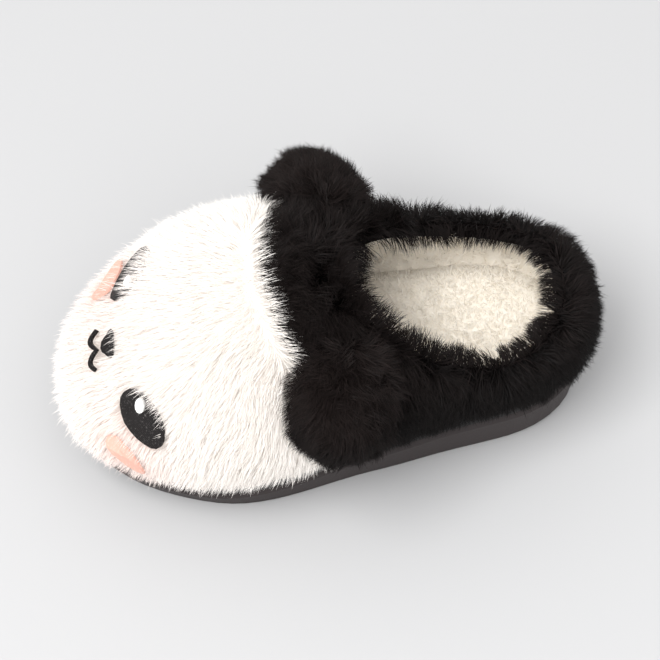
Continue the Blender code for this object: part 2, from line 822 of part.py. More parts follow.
def make_face_parts(panel, materials):
    tree = surface_tree(panel)
    for side, word in ((-1, "outer"), (1, "inner")):
        centre, across, forward = face_frame(side * EYE_SPREAD, EYE_PLACE)
        outline = turned(oval(EYE_LENGTH, EYE_WIDTH, EYE_POINTS), side * EYE_TURN)
        eye = stitched_patch(
            "eye_" + word, tree, centre, across, forward, outline, EYE_RINGS,
            materials["thread_black"],
        )
        shift = -across * side * GLINT_RISE
        glint = oval(GLINT_LENGTH, GLINT_WIDTH, GLINT_POINTS)
        stitched_patch(
            "eye_glint_" + word, surface_tree(eye), centre + shift, across, forward, glint, 2,
            materials["thread_white"],
        )
        centre, across, forward = face_frame(side * CHEEK_SPREAD, CHEEK_PLACE)
        outline = turned(oval(CHEEK_LENGTH, CHEEK_WIDTH, CHEEK_POINTS), side * EYE_TURN)
        stitched_patch(
            "cheek_" + word, tree, centre, across, forward, outline, 3, materials["thread_salmon"]
        )
    centre, across, forward = face_frame(0.0, NOSE_PLACE)
    stitched_patch(
        "nose", tree, centre, across, forward, nose_outline(), 3, materials["thread_black"]
    )
    make_mouth(tree, materials["thread_black"])


def nose_outline():
    """Rounded triangle, point towards the toe."""
    points = []
    for k in range(NOSE_POINTS):
        turn = 2 * math.pi * k / NOSE_POINTS
        blunt = 1 + NOSE_CORNERS * math.cos(3 * (turn - math.pi / 2))
        across = math.cos(turn) * blunt * NOSE_WIDTH / 2
        points.append((across, math.sin(turn) * blunt * NOSE_HEIGHT / 2))
    return np.array(points)


def make_mouth(tree, material):
    """Line of two arcs below the nose, as one strip that follows the muzzle."""
    centre, across, forward = face_frame(0.0, MOUTH_PLACE)
    direction = np.cross(across, forward)
    direction = -direction if direction[2] > 0 else direction
    steps = MOUTH_STEPS
    line = []
    for k in range(steps):
        u = -1 + 2 * k / (steps - 1)
        arc = MOUTH_ARC * MOUTH_WIDTH * abs(math.sin(math.pi * u))
        line.append((u * MOUTH_WIDTH / 2, arc))
    line = np.array(line)
    way = np.gradient(line, axis=0)
    normal = np.column_stack([-way[:, 1], way[:, 0]])
    normal /= np.linalg.norm(normal, axis=1, keepdims=True)
    edges = [line - normal * MOUTH_LINE / 2, line + normal * MOUTH_LINE / 2]
    flat = np.vstack(edges)
    points = centre + flat[:, :1] * across + flat[:, 1:] * forward
    landed = drop_on(tree, points, direction)
    away = -direction
    low = landed + away * STITCH_GAP
    high = low + away * STITCH_THICKNESS
    faces = []
    n, m = steps, 2 * steps
    for k in range(steps - 1):
        faces.append((k, k + 1, n + k + 1, n + k))
        faces.append((m + k, m + n + k, m + n + k + 1, m + k + 1))
        faces.append((k, m + k, m + k + 1, k + 1))
        faces.append((n + k, n + k + 1, m + n + k + 1, m + n + k))
    for k in (0, steps - 1):
        faces.append((k, n + k, m + n + k, m + k))
    return make_object("mouth", np.vstack([low, high]), faces, material)


def make_ear(side, upper, panel, material):
    """Plump flap sewn high on the flank and drooping over it, with locks on its face."""
    count, rings = EAR_POINTS, EAR_RINGS
    droop = EAR_DROOP_OUTER if side < 0 else EAR_DROOP_INNER
    down = np.array([side * math.cos(droop), 0.0, -math.sin(droop)])
    away = np.array([side * math.sin(droop), 0.0, math.cos(droop)])
    length_way = np.array([0.0, 1.0, 0.0])
    x = centre_line(EAR_PLACE) + side * EAR_ROOT_SPREAD
    y = EAR_PLACE + SLANT * side * EAR_ROOT_SPREAD * 2
    root = np.array([x, y, float(form_height(np.array([x, y]), 0.0))])
    centre = root + down * EAR_LENGTH / 2
    turn = np.linspace(0, 2 * math.pi, count, endpoint=False)
    outline = np.column_stack([np.cos(turn) * EAR_WIDTH / 2, np.sin(turn) * EAR_LENGTH / 2])
    outline *= (1 + EAR_NOTCH * np.where(np.arange(count) % 2, 1, -1))[:, None]
    flat = local_grid(outline, rings)
    shares = np.concatenate([[0.0], np.repeat(np.arange(1, rings + 1) / rings, count)])
    points = centre + flat[:, :1] * length_way + flat[:, 1:] * down
    trees = [surface_tree(upper), surface_tree(panel)]
    heights = []
    for tree in trees:
        level = []
        for point in points:
            start = Vector(point + away * RAY_START)
            hit, _, _, _ = tree.ray_cast(start, Vector(-away), RAY_REACH)
            level.append(-1.0 if hit is None else float((np.array(hit) - point) @ away))
        heights.append(level)
    level = np.max(np.array(heights), axis=0)
    level = np.where(level < -EAR_LIFT * 2, -EAR_LIFT * 2, level)
    level = smooth_level(level, count, rings)
    hang = EAR_LIFT * ease((flat[:, 1] / EAR_LENGTH + 0.5 - 0.25) / 0.75)
    low = points + away * (level + EAR_SEAT + hang)[:, None]
    plump = np.sqrt(np.clip(1 - shares**2.4, 0, 1)) * EAR_THICKNESS
    rank = np.concatenate([[0], np.repeat(np.arange(1, rings + 1), count)])
    column = np.concatenate([[0], np.tile(np.arange(count), rings)])
    lock = np.where((rank + column) % 2, 1.0, -1.0) * 0.5 * LOCK_RELIEF * (shares < 0.99)
    high = low + away * (plump + lock * (shares > 0) + EAR_EDGE)[:, None]
    size = len(flat)
    rim = size - count
    faces = patch_faces(count, rings, 0, True) + patch_faces(count, rings, size, False)
    for k in range(count):
        m = (k + 1) % count
        faces.append((rim + k, rim + m, size + rim + m, size + rim + k))
    word = "outer" if side < 0 else "inner"
    return make_object("ear_" + word, np.vstack([low, high]), faces, material)


def smooth_level(level, count, rings):
    """Upper envelope of the surface under a patch, so that its back clears every lock."""
    grid = level[1:].reshape(rings, count)
    wide = np.maximum.reduce([grid, np.roll(grid, 1, axis=1), np.roll(grid, -1, axis=1)])
    stacked = np.vstack([np.full((1, count), level[0]), wide])
    tall = stacked.copy()
    tall[1:] = np.maximum(tall[1:], stacked[:-1])
    tall[:-1] = np.maximum(tall[:-1], stacked[1:])
    middle = tall[0].max()
    return np.concatenate([[middle], tall[1:].reshape(-1)])


def centre_on_origin():
    """Puts the origin under the middle of the whole shoe, on the ground."""
    things = [thing for thing in bpy.data.objects if thing.type == "MESH" and not thing.hide_render]
    points = np.array([vertex.co[:] for thing in things for vertex in thing.data.vertices])
    low, high = points.min(0), points.max(0)
    shift = Vector(((low[0] + high[0]) / 2, (low[1] + high[1]) / 2, low[2]))
    for thing in bpy.data.objects:
        if thing.type == "MESH":
            for vertex in thing.data.vertices:
                vertex.co -= shift


def build():
    clear_scene()
    materials = {
        "black_pile": make_material("black_pile", BLACK_PILE, 0.85),
        "white_pile": make_material("white_pile", WHITE_PILE, 0.9),
        "fleece": make_material("fleece", CREAM_FLEECE, 0.95),
        "band": make_material("band", BAND_BLACK, 0.55),
        "sole": make_material("sole", SOLE_TAUPE, 0.7),
        "thread_black": make_material("thread_black", THREAD_BLACK, 0.5),
        "thread_white": make_material("thread_white", THREAD_WHITE, 0.5),
        "thread_salmon": make_material("thread_salmon", THREAD_SALMON, 0.6),
    }
    make_outsole(materials["sole"])
    make_midsole(materials["band"])
    make_insole(materials["fleece"])
    upper = make_upper(materials["black_pile"])
    panel = make_face_panel(materials["white_pile"])
    make_face_parts(panel, materials)
    make_ear(-1, upper, panel, materials["black_pile"])
    make_ear(1, upper, panel, materials["black_pile"])
    centre_on_origin()


build()
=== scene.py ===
# Looks of the panda plush slipper: fur grown on padded bodies, fleece lining and footbed,
# embroidered face, smooth covered band and foam sole. Metres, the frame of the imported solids.

import math

import bpy
import numpy as np
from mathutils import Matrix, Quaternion, Vector
from mathutils.bvhtree import BVHTree
from mathutils.kdtree import KDTree


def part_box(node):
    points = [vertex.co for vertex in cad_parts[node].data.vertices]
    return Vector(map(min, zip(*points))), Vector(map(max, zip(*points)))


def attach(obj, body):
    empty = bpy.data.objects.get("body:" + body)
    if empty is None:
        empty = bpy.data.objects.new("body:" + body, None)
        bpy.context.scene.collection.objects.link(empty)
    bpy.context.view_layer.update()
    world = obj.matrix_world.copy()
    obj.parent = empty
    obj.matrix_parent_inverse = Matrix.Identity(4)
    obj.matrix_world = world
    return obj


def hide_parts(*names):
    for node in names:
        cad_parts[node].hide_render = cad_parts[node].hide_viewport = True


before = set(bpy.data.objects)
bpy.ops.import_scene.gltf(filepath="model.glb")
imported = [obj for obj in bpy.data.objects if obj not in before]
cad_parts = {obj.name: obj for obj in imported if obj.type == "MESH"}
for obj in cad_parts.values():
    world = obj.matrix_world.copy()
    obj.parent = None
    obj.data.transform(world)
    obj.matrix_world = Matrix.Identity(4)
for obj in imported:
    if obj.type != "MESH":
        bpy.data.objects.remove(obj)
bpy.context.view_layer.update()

MM = 0.001

# The shoe's own sizes, as in its solids; the band's height is taken with the gaps below and above
# it, and the sole's outline with the step at its side
SOLE_LENGTH = 200 * MM
HEEL_WIDTH = 73 * MM
WAIST_WIDTH = 84 * MM
BALL_WIDTH = 102 * MM
TOE_WIDTH = 96 * MM
TIP_WIDTH = TOE_WIDTH * 0.97
TOE_BEND = 5.5 * MM
BEND_LEVEL = 0.33
END_ROUNDNESS = 2.3
HEEL_REACH = 0.25
TOE_REACH = 0.31
SOLE_HEEL_HEIGHT = 20 * MM
SOLE_TOE_HEIGHT = 12.5 * MM
BAND_WITH_GAPS = 11.1 * MM
TOE_SPRING = 4.5 * MM
TOE_SPRING_START = 0.80
TOE_SPRING_REACH = 0.24
HEEL_SPRING = 1.2 * MM
HEEL_SPRING_END = 0.07
HEEL_SPRING_REACH = 0.09
SLOPE_START = 0.18
SLOPE_REACH = 0.55
SPRING_KEPT = 0.6
SIDE_STEP = 1.9 * MM
PILE_OVERHANG = 3.5 * MM
WALL = 10.5 * MM
INSTEP_HEIGHT = 98 * MM
BULGE = 6.5 * MM
COLLAR_FRONT = -14 * MM
COLLAR_BACK = -85 * MM
COLLAR_WIDTH = 50 * MM
COLLAR_SQUARENESS = 2.3
COLLAR_TAPER = 0.08
LIP = 9 * MM
TOE_CAP = 26 * MM
HEEL_CAP = 10 * MM
CAP_ROUNDNESS = 2.2
SEAM_TOP = 19 * MM
SEAM_SIDE = 1 * MM
SEAM_CURVE = 2.2
SLANT = 0.06

# Depth of the cloth that carries the fur below the tips, and of the fleece behind its own tips
UNDERCOAT = 5.5 * MM
FLEECE_DEPTH = 1.8 * MM

# Face cloth: its thickness, how far it stands above the black cloth, and the least share of a
# line round the shoe that it covers
CLOTH = 0.4 * MM
FACE_RAISE = 0.5 * MM
LEAST_FACE_SHARE = 0.04

# Lining: its thickness, how far forward it has pile, how far it is turned in under the footbed and
# lifted there, how far it stands off the shell and what share of the way to the rim it goes
LINING_CLOTH = 0.3 * MM
LINING_FRONT = 40 * MM
LINING_TUCK = 6 * MM
LINING_LIFT = 0.6 * MM
COVER_LIFT = 0.4 * MM
COVER_SHARE = 0.985

# Footbed and ears: how far their cloth lies below their solids, and where the footbed's pile ends
FOOTBED_SINK = 1.2 * MM
FOOTBED_FRONT = 30 * MM
EAR_SLIMMING = 4.2 * MM

# Length of the pile where it is plain, and how much shorter or longer it grows elsewhere
WHITE_PILE = 8.4 * MM
WHITE_HEM_CUT = 3.8 * MM
BLACK_PILE = 9.6 * MM
BLACK_HEM_CUT = 2.4 * MM
SEAM_CUT = 1.2 * MM
HIGH_RIM_GROWTH = 4.2 * MM
RIM_CUT = 0.15
EAR_PILE = 10.5 * MM
LINING_PILE = 3.2 * MM
FOOTBED_PILE = 2.6 * MM

# Number of strands in each piece, of roots tried on the face, and the strands' widths
FACE_STRANDS = 38600
OUTER_STRANDS = 38600
INNER_STRANDS = 32000
EAR_OUTER_STRANDS = 22000
EAR_INNER_STRANDS = 18000
LINING_STRANDS = 20000
FOOTBED_STRANDS = 16000
FACE_ROOTS = 40000
WHITE_STRAND = 0.22 * MM
BLACK_STRAND = 0.25 * MM
FLEECE_STRAND = 0.3 * MM

# Foot space, how strongly the pile falls away from the opening and down, and how far from the
# ends of the opening it turns round them
FOOT_BACK = -80 * MM
FOOT_FRONT = 55 * MM
FOOT_LEVEL = 44 * MM
PULL_AWAY = 0.6
PULL_DOWN = -0.7
COLLAR_TURN = 22 * MM
RIM_TURN = 25 * MM

# Embroidery: how near roots are tried, how deep the pile over a piece is looked through, how far
# ahead of its root a strand lies down, how far the blush tints the pile, what share of its length
# a strand keeps beside a piece, and where and how long the pile over the far eye and blush is
SEWN_MARGIN = 8 * MM
SEWN_DEPTH = 12 * MM
STRAND_REACH = 3.5 * MM
BLUSH_REACH = 15 * MM
FRINGE_SHARE = 0.45
NOSE_FRINGE_SHARE = 0.3
FAR_EYE_ZONE = 10 * MM
FAR_EYE_PILE = 10.5 * MM
FAR_BLUSH_ZONE = 9 * MM
FAR_BLUSH_PILE = 8.5 * MM

# Zones in which the pile changes: above the hem, in front of and behind the seam, at the rim, on
# the high part of the rim, and towards the toe
WHITE_HEM = 8 * MM
BLACK_HEM = 9 * MM
SEAM_BAND = 7 * MM
SEAM_BACK = 12 * MM
RIM_ZONE = 9 * MM
RIM_LEAST_HEIGHT = 15 * MM
LIP_LEAST_HEIGHT = 20 * MM
SEAM_MARGIN = 0.5 * MM
BACKWARD_START = 16 * MM
BACKWARD_REACH = 14 * MM
HIGH_START = 48 * MM
HIGH_REACH = 20 * MM
HIGH_BACK = 75 * MM
HIGH_FADE = 50 * MM
TOE_TINT_START = 25 * MM
TOE_TINT_REACH = 70 * MM

# Distance over which the pile's tufts turn
TUFTS = 13 * MM
WIDE_TUFTS = 22 * MM
EAR_TUFTS = 10 * MM

# Levels of a strand at which it has points, how wide it is there, its faces' corners and where
# each face starts among them, and how much strands differ in length and in how far they stand up
STRAND_LEVELS = (0.0, 0.4, 0.75, 1.0)
STRAND_TAPER = (1.0, 0.9, 0.6)
STRAND_POINTS = 7
STRAND_FACES = (0, 1, 3, 2, 2, 3, 5, 4, 4, 5, 6)
FACE_STARTS = (0, 4, 8)
LENGTH_SPREAD = 0.13
RISE_SPREAD = 0.1
LEAST_RISE = 0.08
MOST_RISE = 0.97

# Mesh density of the bodies: an even number of stations around the shoe, and their rows
STATIONS = 168
RIM_POINTS = 240
OUTLINE_SAMPLES = 700
LINE_SAMPLES = 260
BLACK_ROWS = 40
FACE_ROWS = 24
LINING_ROWS = 26
LIP_ROWS = 5
LINE_CROWD = 2.4
LINING_CROWD = 1.5

# Where the collar's cloth edge and the linings' edges run, outside the opening in the solids
RIM_EDGE = LIP * 0.45
RIM_CROWN = 2.0 * MM
LINING_EDGE = 1.5 * MM
COVER_EDGE = 1.1 * MM

# Share of the length, full width, share of that width on the outer side
OUTLINE = (
    (0.00, HEEL_WIDTH, 0.49),
    (0.16, HEEL_WIDTH, 0.49),
    (0.42, WAIST_WIDTH, 0.52),
    (0.68, BALL_WIDTH, 0.51),
    (0.86, TOE_WIDTH, 0.49),
    (1.00, TIP_WIDTH, 0.49),
)

# Share of the length, height of the top line as a share of the instep height
TOP_LINE = (
    (0.00, 0.665), (0.08, 0.685), (0.20, 0.725), (0.35, 0.800), (0.48, 0.915), (0.55, 0.980),
    (0.62, 1.000), (0.69, 0.965), (0.76, 0.880), (0.83, 0.745), (0.89, 0.630), (0.95, 0.565),
    (1.00, 0.535),
)

# Share of the length, exponent of the rounded cross-section
SECTION = ((0.00, 3.0), (0.30, 2.8), (0.55, 2.35), (0.75, 2.2), (1.00, 2.3))

# Camera: place and aim in the shoe's frame, roll in degrees
CAMERA_PLACE = (-0.4244, -0.0320, 0.6889)
CAMERA_AIM = (0.0212, -0.0007, 0.0131)
CAMERA_ROLL = -8.3
CAMERA_LENS = 109.1


# Form of the shoe


def ease(share):
    """Smooth step from 0 to 1."""
    share = np.clip(share, 0.0, 1.0)
    return share * share * (3 - 2 * share)


def table_curve(table, column, share):
    """Smooth curve through one column of a table, with flat tangents at its peaks."""
    xs = np.array([row[0] for row in table])
    ys = np.array([row[column] for row in table])
    steps = np.diff(ys) / np.diff(xs)
    slopes = np.zeros(len(xs))
    same = steps[:-1] * steps[1:] > 0
    slopes[1:-1][same] = 2 * (steps[:-1] * steps[1:])[same] / (steps[:-1] + steps[1:])[same]
    slopes[0], slopes[-1] = steps[0], steps[-1]
    share = np.clip(np.asarray(share, float), 0.0, 1.0)
    k = np.clip(np.searchsorted(xs, share, side="right") - 1, 0, len(xs) - 2)
    width = xs[k + 1] - xs[k]
    u = (share - xs[k]) / width
    return (
        ys[k] * (1 + 2 * u) * (1 - u) ** 2
        + slopes[k] * width * u * (1 - u) ** 2
        + ys[k + 1] * (3 - 2 * u) * u**2
        + slopes[k + 1] * width * (u - 1) * u**2
    )


def rounded_end(depth, reach, power):
    """Share of the full width at a depth from an end that is rounded over its reach."""
    u = np.clip(1 - depth / reach, 0.0, 1.0)
    return (1 - u**power) ** (1 / power)


def centre_line(y):
    """Place across of the middle of the shoe, which bends to the inner side at the toe."""
    share = np.clip(y / SOLE_LENGTH + 0.5, 0.0, 1.1)
    return TOE_BEND * (BEND_LEVEL - share**2)


def half_width(y, grow, side):
    """Width from the centre line to one side of the outline grown by grow."""
    length = SOLE_LENGTH + 2 * grow
    share = np.clip(y / length + 0.5, 0.0, 1.0)
    full = table_curve(OUTLINE, 1, share)
    lean = table_curve(OUTLINE, 2, share)
    part = full * (lean if side < 0 else 1 - lean) + grow
    heel = rounded_end(share, HEEL_REACH, END_ROUNDNESS)
    toe = rounded_end(1 - share, TOE_REACH, END_ROUNDNESS)
    return part * heel * toe


def along(curve, shares):
    """Points at shares of the arc length of a polyline."""
    steps = np.linalg.norm(np.diff(curve, axis=0), axis=1)
    way = np.concatenate([[0.0], np.cumsum(steps)])
    at = np.asarray(shares) * way[-1]
    return np.column_stack([np.interp(at, way, curve[:, k]) for k in range(curve.shape[1])])


def outline_ring(grow, stations):
    """Outline grown by grow: from the heel up the outer side, back down the inner side."""
    share = 0.5 - 0.5 * np.cos(np.linspace(0, math.pi, OUTLINE_SAMPLES))
    share = 0.5 - 0.5 * np.cos(math.pi * share)
    y = (share - 0.5) * (SOLE_LENGTH + 2 * grow)
    even = np.linspace(0, 1, stations // 2 + 1)
    outer, inner = [
        along(np.column_stack([centre_line(y) + side * half_width(y, grow, side), y]), even)
        for side in (-1, 1)
    ]
    return np.vstack([outer, inner[-2:0:-1]])


def feather_height(y):
    """Level on which the fur's edge and the footbed lie."""
    share = y / SOLE_LENGTH + 0.5
    toe = TOE_SPRING * ease((share - TOE_SPRING_START) / TOE_SPRING_REACH)
    heel = HEEL_SPRING * ease((HEEL_SPRING_END - share) / HEEL_SPRING_REACH)
    slope = ease((share - SLOPE_START) / SLOPE_REACH)
    level = SOLE_HEEL_HEIGHT + (SOLE_TOE_HEIGHT - SOLE_HEEL_HEIGHT) * slope
    return level + SPRING_KEPT * (toe + heel) + BAND_WITH_GAPS


def collar_ring(grow, stations):
    """Edge of the opening grown by grow, in the same order as the outline's ring."""
    even = np.linspace(0, 1, stations // 2 + 1)
    turn = math.pi * (1 - (1 - even) ** 1.5)
    middle = (COLLAR_FRONT + COLLAR_BACK) / 2
    reach = (COLLAR_FRONT - COLLAR_BACK) / 2 + grow
    power = 2 / COLLAR_SQUARENESS
    x = (COLLAR_WIDTH / 2 + grow) * np.sin(turn) ** power * (1 + COLLAR_TAPER * np.cos(turn))
    y = middle - reach * np.sign(np.cos(turn)) * np.abs(np.cos(turn)) ** power
    outer = np.column_stack([centre_line(y) - x, y])
    inner = np.column_stack([centre_line(y) + x, y])
    return np.vstack([outer, inner[-2:0:-1]])


def form_height(xy, inset):
    """Height of the form over a plan point; inset 0 is the tips of the fur."""
    grow = PILE_OVERHANG - inset
    x, y = xy[..., 0], xy[..., 1]
    length = SOLE_LENGTH + 2 * grow
    share = y / length + 0.5
    base = feather_height(y)
    rise = table_curve(TOP_LINE, 1, share) * INSTEP_HEIGHT - base - inset
    across = x - centre_line(y)
    half = np.where(across < 0, half_width(y, grow, -1), half_width(y, grow, 1))
    power = table_curve(SECTION, 1, share)
    arch = (1 - np.clip(np.abs(across) / np.maximum(half, 1e-6), 0, 1) ** power) ** (1 / power)
    toe = rounded_end((1 - share) * length, TOE_CAP, CAP_ROUNDNESS)
    heel = rounded_end(share * length, HEEL_CAP, CAP_ROUNDNESS)
    return base + np.maximum(rise, 0) * arch * (toe * heel)


def outward(ring):
    """Unit directions out of a ring in plan."""
    way = np.roll(ring, -1, axis=0) - np.roll(ring, 1, axis=0)
    side = np.column_stack([-way[:, 1], way[:, 0]])
    return side / np.linalg.norm(side, axis=1, keepdims=True)


def skin(inset, end_grow, stations):
    """Dense lines over the form at a depth below its tips, from its outline up to the collar."""
    start = outline_ring(PILE_OVERHANG - inset, stations)
    end = collar_ring(end_grow, stations)
    way = np.linspace(0, 1, LINE_SAMPLES) ** LINE_CROWD
    xy = start[:, None, :] + (end - start)[:, None, :] * way[None, :, None]
    height = form_height(xy, inset)
    rise = np.clip((height - height[:, :1]) / (0.6 * INSTEP_HEIGHT), 0, 1)
    swell = BULGE * np.sin(math.pi * rise**0.8) * (1 - 0.5 * inset / WALL)
    return np.dstack([xy + outward(start)[:, None, :] * swell[:, :, None], height])


def rows_of(lines, low, high, count, crowd=1.0):
    """Rows across the lines, from the share low to the share high of each."""
    rows = []
    for part in np.linspace(0, 1, count + 1) ** crowd:
        spans = zip(lines, low, high)
        rows.append(np.vstack([along(line, [a + (b - a) * part]) for line, a, b in spans]))
    return rows


def ahead_of_seam(points):
    """Distance in front of the seam between white and black, in the form's own frame."""
    x = points[..., 0] - centre_line(points[..., 1])
    curve = (SEAM_SIDE - SEAM_TOP) * np.clip(np.abs(x) / (BALL_WIDTH / 2), 0, 1) ** SEAM_CURVE
    return points[..., 1] - (SEAM_TOP + SLANT * x + curve)


# The form's own frame is centred on the sole, the solids' frame on the whole shoe
OUTSOLE_LOW = np.array(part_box("outsole")[0])
OFFSET = np.array([
    OUTSOLE_LOW[0] - (outline_ring(-SIDE_STEP, RIM_POINTS)[:, 0].min() - SIDE_STEP),
    OUTSOLE_LOW[1] + SOLE_LENGTH / 2,
    0.0,
])


# Making and shaping pieces


def select_only(thing):
    bpy.ops.object.select_all(action="DESELECT")
    bpy.context.view_layer.objects.active = thing
    thing.select_set(True)


def finish_mesh(thing, merge=0.00002, closed=True):
    """Merges doubles and turns the faces of a closed piece outwards."""
    select_only(thing)
    bpy.ops.object.mode_set(mode="EDIT")
    bpy.ops.mesh.select_all(action="SELECT")
    bpy.ops.mesh.remove_doubles(threshold=merge)
    if closed:
        bpy.ops.mesh.normals_make_consistent(inside=False)
    bpy.ops.object.mode_set(mode="OBJECT")
    bpy.ops.object.shade_smooth()


def put_points(thing, points):
    thing.data.vertices.foreach_set("co", np.asarray(points, np.float32).reshape(-1))
    thing.data.update()


def get_points(thing):
    points = np.zeros(len(thing.data.vertices) * 3, np.float32)
    thing.data.vertices.foreach_get("co", points)
    return points.reshape(-1, 3).astype(float)


def lofted(name, rows, material, closed_round=True, closed_rows=False):
    """A grid drawn over rows of points, sewn up where it comes back to its start."""
    grid = np.array(rows)
    if closed_round:
        grid = np.concatenate([grid, grid[:, :1]], axis=1)
    if closed_rows:
        grid = np.concatenate([grid, grid[:1]], axis=0)
    bpy.ops.object.select_all(action="DESELECT")
    bpy.ops.mesh.primitive_grid_add(
        x_subdivisions=grid.shape[1] - 1, y_subdivisions=grid.shape[0] - 1, size=1
    )
    thing = bpy.context.active_object
    thing.name = name
    put_points(thing, grid + OFFSET)
    thing.data.materials.append(material)
    finish_mesh(thing, closed=closed_round and closed_rows)
    return thing


def merged_copy(node, name, material):
    """Copy of a solid with its loose triangles merged, to be shaped further."""
    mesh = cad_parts[node].data.copy()
    thing = bpy.data.objects.new(name, mesh)
    bpy.context.scene.collection.objects.link(thing)
    mesh.materials.clear()
    mesh.materials.append(material)
    finish_mesh(thing, closed=False)
    return thing


def apply_modifier(thing, kind, **values):
    select_only(thing)
    modifier = thing.modifiers.new(kind.lower(), kind)
    for key, value in values.items():
        setattr(modifier, key, value)
    bpy.ops.object.modifier_apply(modifier=modifier.name)


def ready(thing, slot, *nodes):
    """Puts a finished piece on the shoe's body and hides the solids that it stands for; its slot is
    not used.
    """
    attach(thing, "root")
    if nodes:
        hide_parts(*nodes)


# Strands of fur and fleece: one joined mesh of tapered ribbons for each piece


def triangles_of(thing):
    mesh = thing.data
    mesh.calc_loop_triangles()
    corners = np.zeros(len(mesh.loop_triangles) * 3, np.int32)
    mesh.loop_triangles.foreach_get("vertices", corners)
    normals = np.zeros(len(mesh.vertices) * 3, np.float32)
    mesh.vertices.foreach_get("normal", normals)
    return corners.reshape(-1, 3), normals.reshape(-1, 3).astype(float)


def unit(vectors):
    return vectors / np.maximum(np.linalg.norm(vectors, axis=-1, keepdims=True), 1e-12)


def flatten(vectors, normals):
    """The part of each vector that lies in the surface."""
    return vectors - normals * (vectors * normals).sum(1, keepdims=True)


def scatter(thing, count, rng, wanted):
    """Points spread evenly over the faces whose middles are wanted, with their normals."""
    points = get_points(thing)
    corners, normals = triangles_of(thing)
    a, b, c = points[corners[:, 0]], points[corners[:, 1]], points[corners[:, 2]]
    area = np.linalg.norm(np.cross(b - a, c - a), axis=1)
    area = area * wanted((a + b + c) / 3, unit(normals[corners].sum(1)))
    chosen = rng.choice(len(area), count, p=area / area.sum())
    u, v = np.sqrt(rng.random(count)), rng.random(count)
    weights = np.column_stack([1 - u, u * (1 - v), u * v])
    roots = (points[corners[chosen]] * weights[:, :, None]).sum(1)
    facing = unit((normals[corners[chosen]] * weights[:, :, None]).sum(1))
    return roots, facing


def clump_centres(roots, share, rng):
    """For each root, the index of the nearest of a few chosen roots."""
    count = max(1, int(len(roots) * share))
    centres = rng.choice(len(roots), count, replace=False)
    tree = KDTree(count)
    for k, index in enumerate(centres):
        tree.insert(roots[index], k)
    tree.balance()
    return centres[np.array([tree.find(root)[1] for root in roots])]


def strands(name, roots, normals, lean, length, rise, width, material, rng, clump, clump_share,
            spread, curl=0.25 * MM, tint_and_sheen=None):
    """Ribbons that stand on their roots and bend over along lean; rise is the share of the length
    that they stand up."""
    count = len(roots)
    lean = unit(flatten(lean, normals))
    side = np.cross(normals, lean)
    turn = rng.normal(0, spread, count)[:, None]
    lean = lean * np.cos(turn) + side * np.sin(turn)
    length = (np.broadcast_to(length, count) * (1 + rng.normal(0, LENGTH_SPREAD, count)))[:, None]
    rise = np.broadcast_to(rise, count) + rng.normal(0, RISE_SPREAD, count)
    rise = np.clip(rise, LEAST_RISE, MOST_RISE)[:, None]
    flat = np.sqrt(1 - rise**2)
    centre = clump_centres(roots, clump_share, rng)
    pull = (clump * rng.uniform(0.4, 1.0, count))[:, None]
    wave = rng.normal(0, 1, (count, 3)) * curl
    levels = []
    for t in STRAND_LEVELS:
        up = normals * rise * (1.3 * t - 0.3 * t * t)
        over = lean * flat * (0.5 * t + 0.5 * t * t)
        level = roots + length * (up + over)
        level = level + (level[centre] - level) * pull * t**1.5
        levels.append(level + wave * math.sin(t * 4.2) * t)
    return ribbons(name, levels, normals, width, material, rng, tint_and_sheen)


def ribbons(name, levels, normals, width, material, rng, tint_and_sheen):
    """Joined mesh of one ribbon per strand: two spans and a pointed end."""
    count = len(normals)
    tilt = rng.uniform(-0.9, 0.9, count)[:, None]
    wide = np.broadcast_to(width, count)[:, None] * rng.uniform(0.75, 1.25, count)[:, None] / 2
    points = np.zeros((count, STRAND_POINTS, 3))
    for k, taper in enumerate(STRAND_TAPER):
        way = unit(levels[k + 1] - levels[k])
        across = unit(np.cross(way, normals) + 1e-6)
        across = across * np.cos(tilt) + np.cross(way, across) * np.sin(tilt)
        points[:, 2 * k] = levels[k] - across * wide * taper
        points[:, 2 * k + 1] = levels[k] + across * wide * taper
    points[:, -1] = levels[-1]
    mesh = bpy.data.meshes.new(name)
    mesh.vertices.add(count * STRAND_POINTS)
    mesh.vertices.foreach_set("co", points.astype(np.float32).reshape(-1))
    corners = np.array(STRAND_FACES)
    mesh.loops.add(count * len(corners))
    index = (np.arange(count)[:, None] * STRAND_POINTS + corners).astype(np.int32)
    mesh.loops.foreach_set("vertex_index", index.reshape(-1))
    mesh.polygons.add(count * len(FACE_STARTS))
    starts = (np.arange(count)[:, None] * len(corners) + np.array(FACE_STARTS)).astype(np.int32)
    mesh.polygons.foreach_set("loop_start", starts.reshape(-1))
    mesh.update(calc_edges=True)
    mesh.shade_smooth()
    add_values(mesh, "along", np.tile(np.repeat(STRAND_LEVELS, 2)[:STRAND_POINTS], count))
    add_values(mesh, "strand", np.repeat(rng.random(count), STRAND_POINTS))
    add_values(mesh, "tint_and_sheen", np.repeat(np.zeros(count) if tint_and_sheen is None else tint_and_sheen, STRAND_POINTS))
    mesh.materials.append(material)
    thing = bpy.data.objects.new(name, mesh)
    bpy.context.scene.collection.objects.link(thing)
    return thing


def add_values(mesh, name, values):
    """A value for each point of a mesh, which its material reads."""
    attribute = mesh.attributes.new(name, "FLOAT", "POINT")
    attribute.data.foreach_set("value", np.asarray(values, np.float32))


# Materials


def new_group(name, inputs, outputs):
    group = bpy.data.node_groups.new(name, "ShaderNodeTree")
    for label, kind, value in inputs:
        socket = group.interface.new_socket(name=label, in_out="INPUT", socket_type=kind)
        socket.default_value = value
    for label, kind in outputs:
        group.interface.new_socket(name=label, in_out="OUTPUT", socket_type=kind)
    return group, group.nodes.new("NodeGroupInput"), group.nodes.new("NodeGroupOutput")


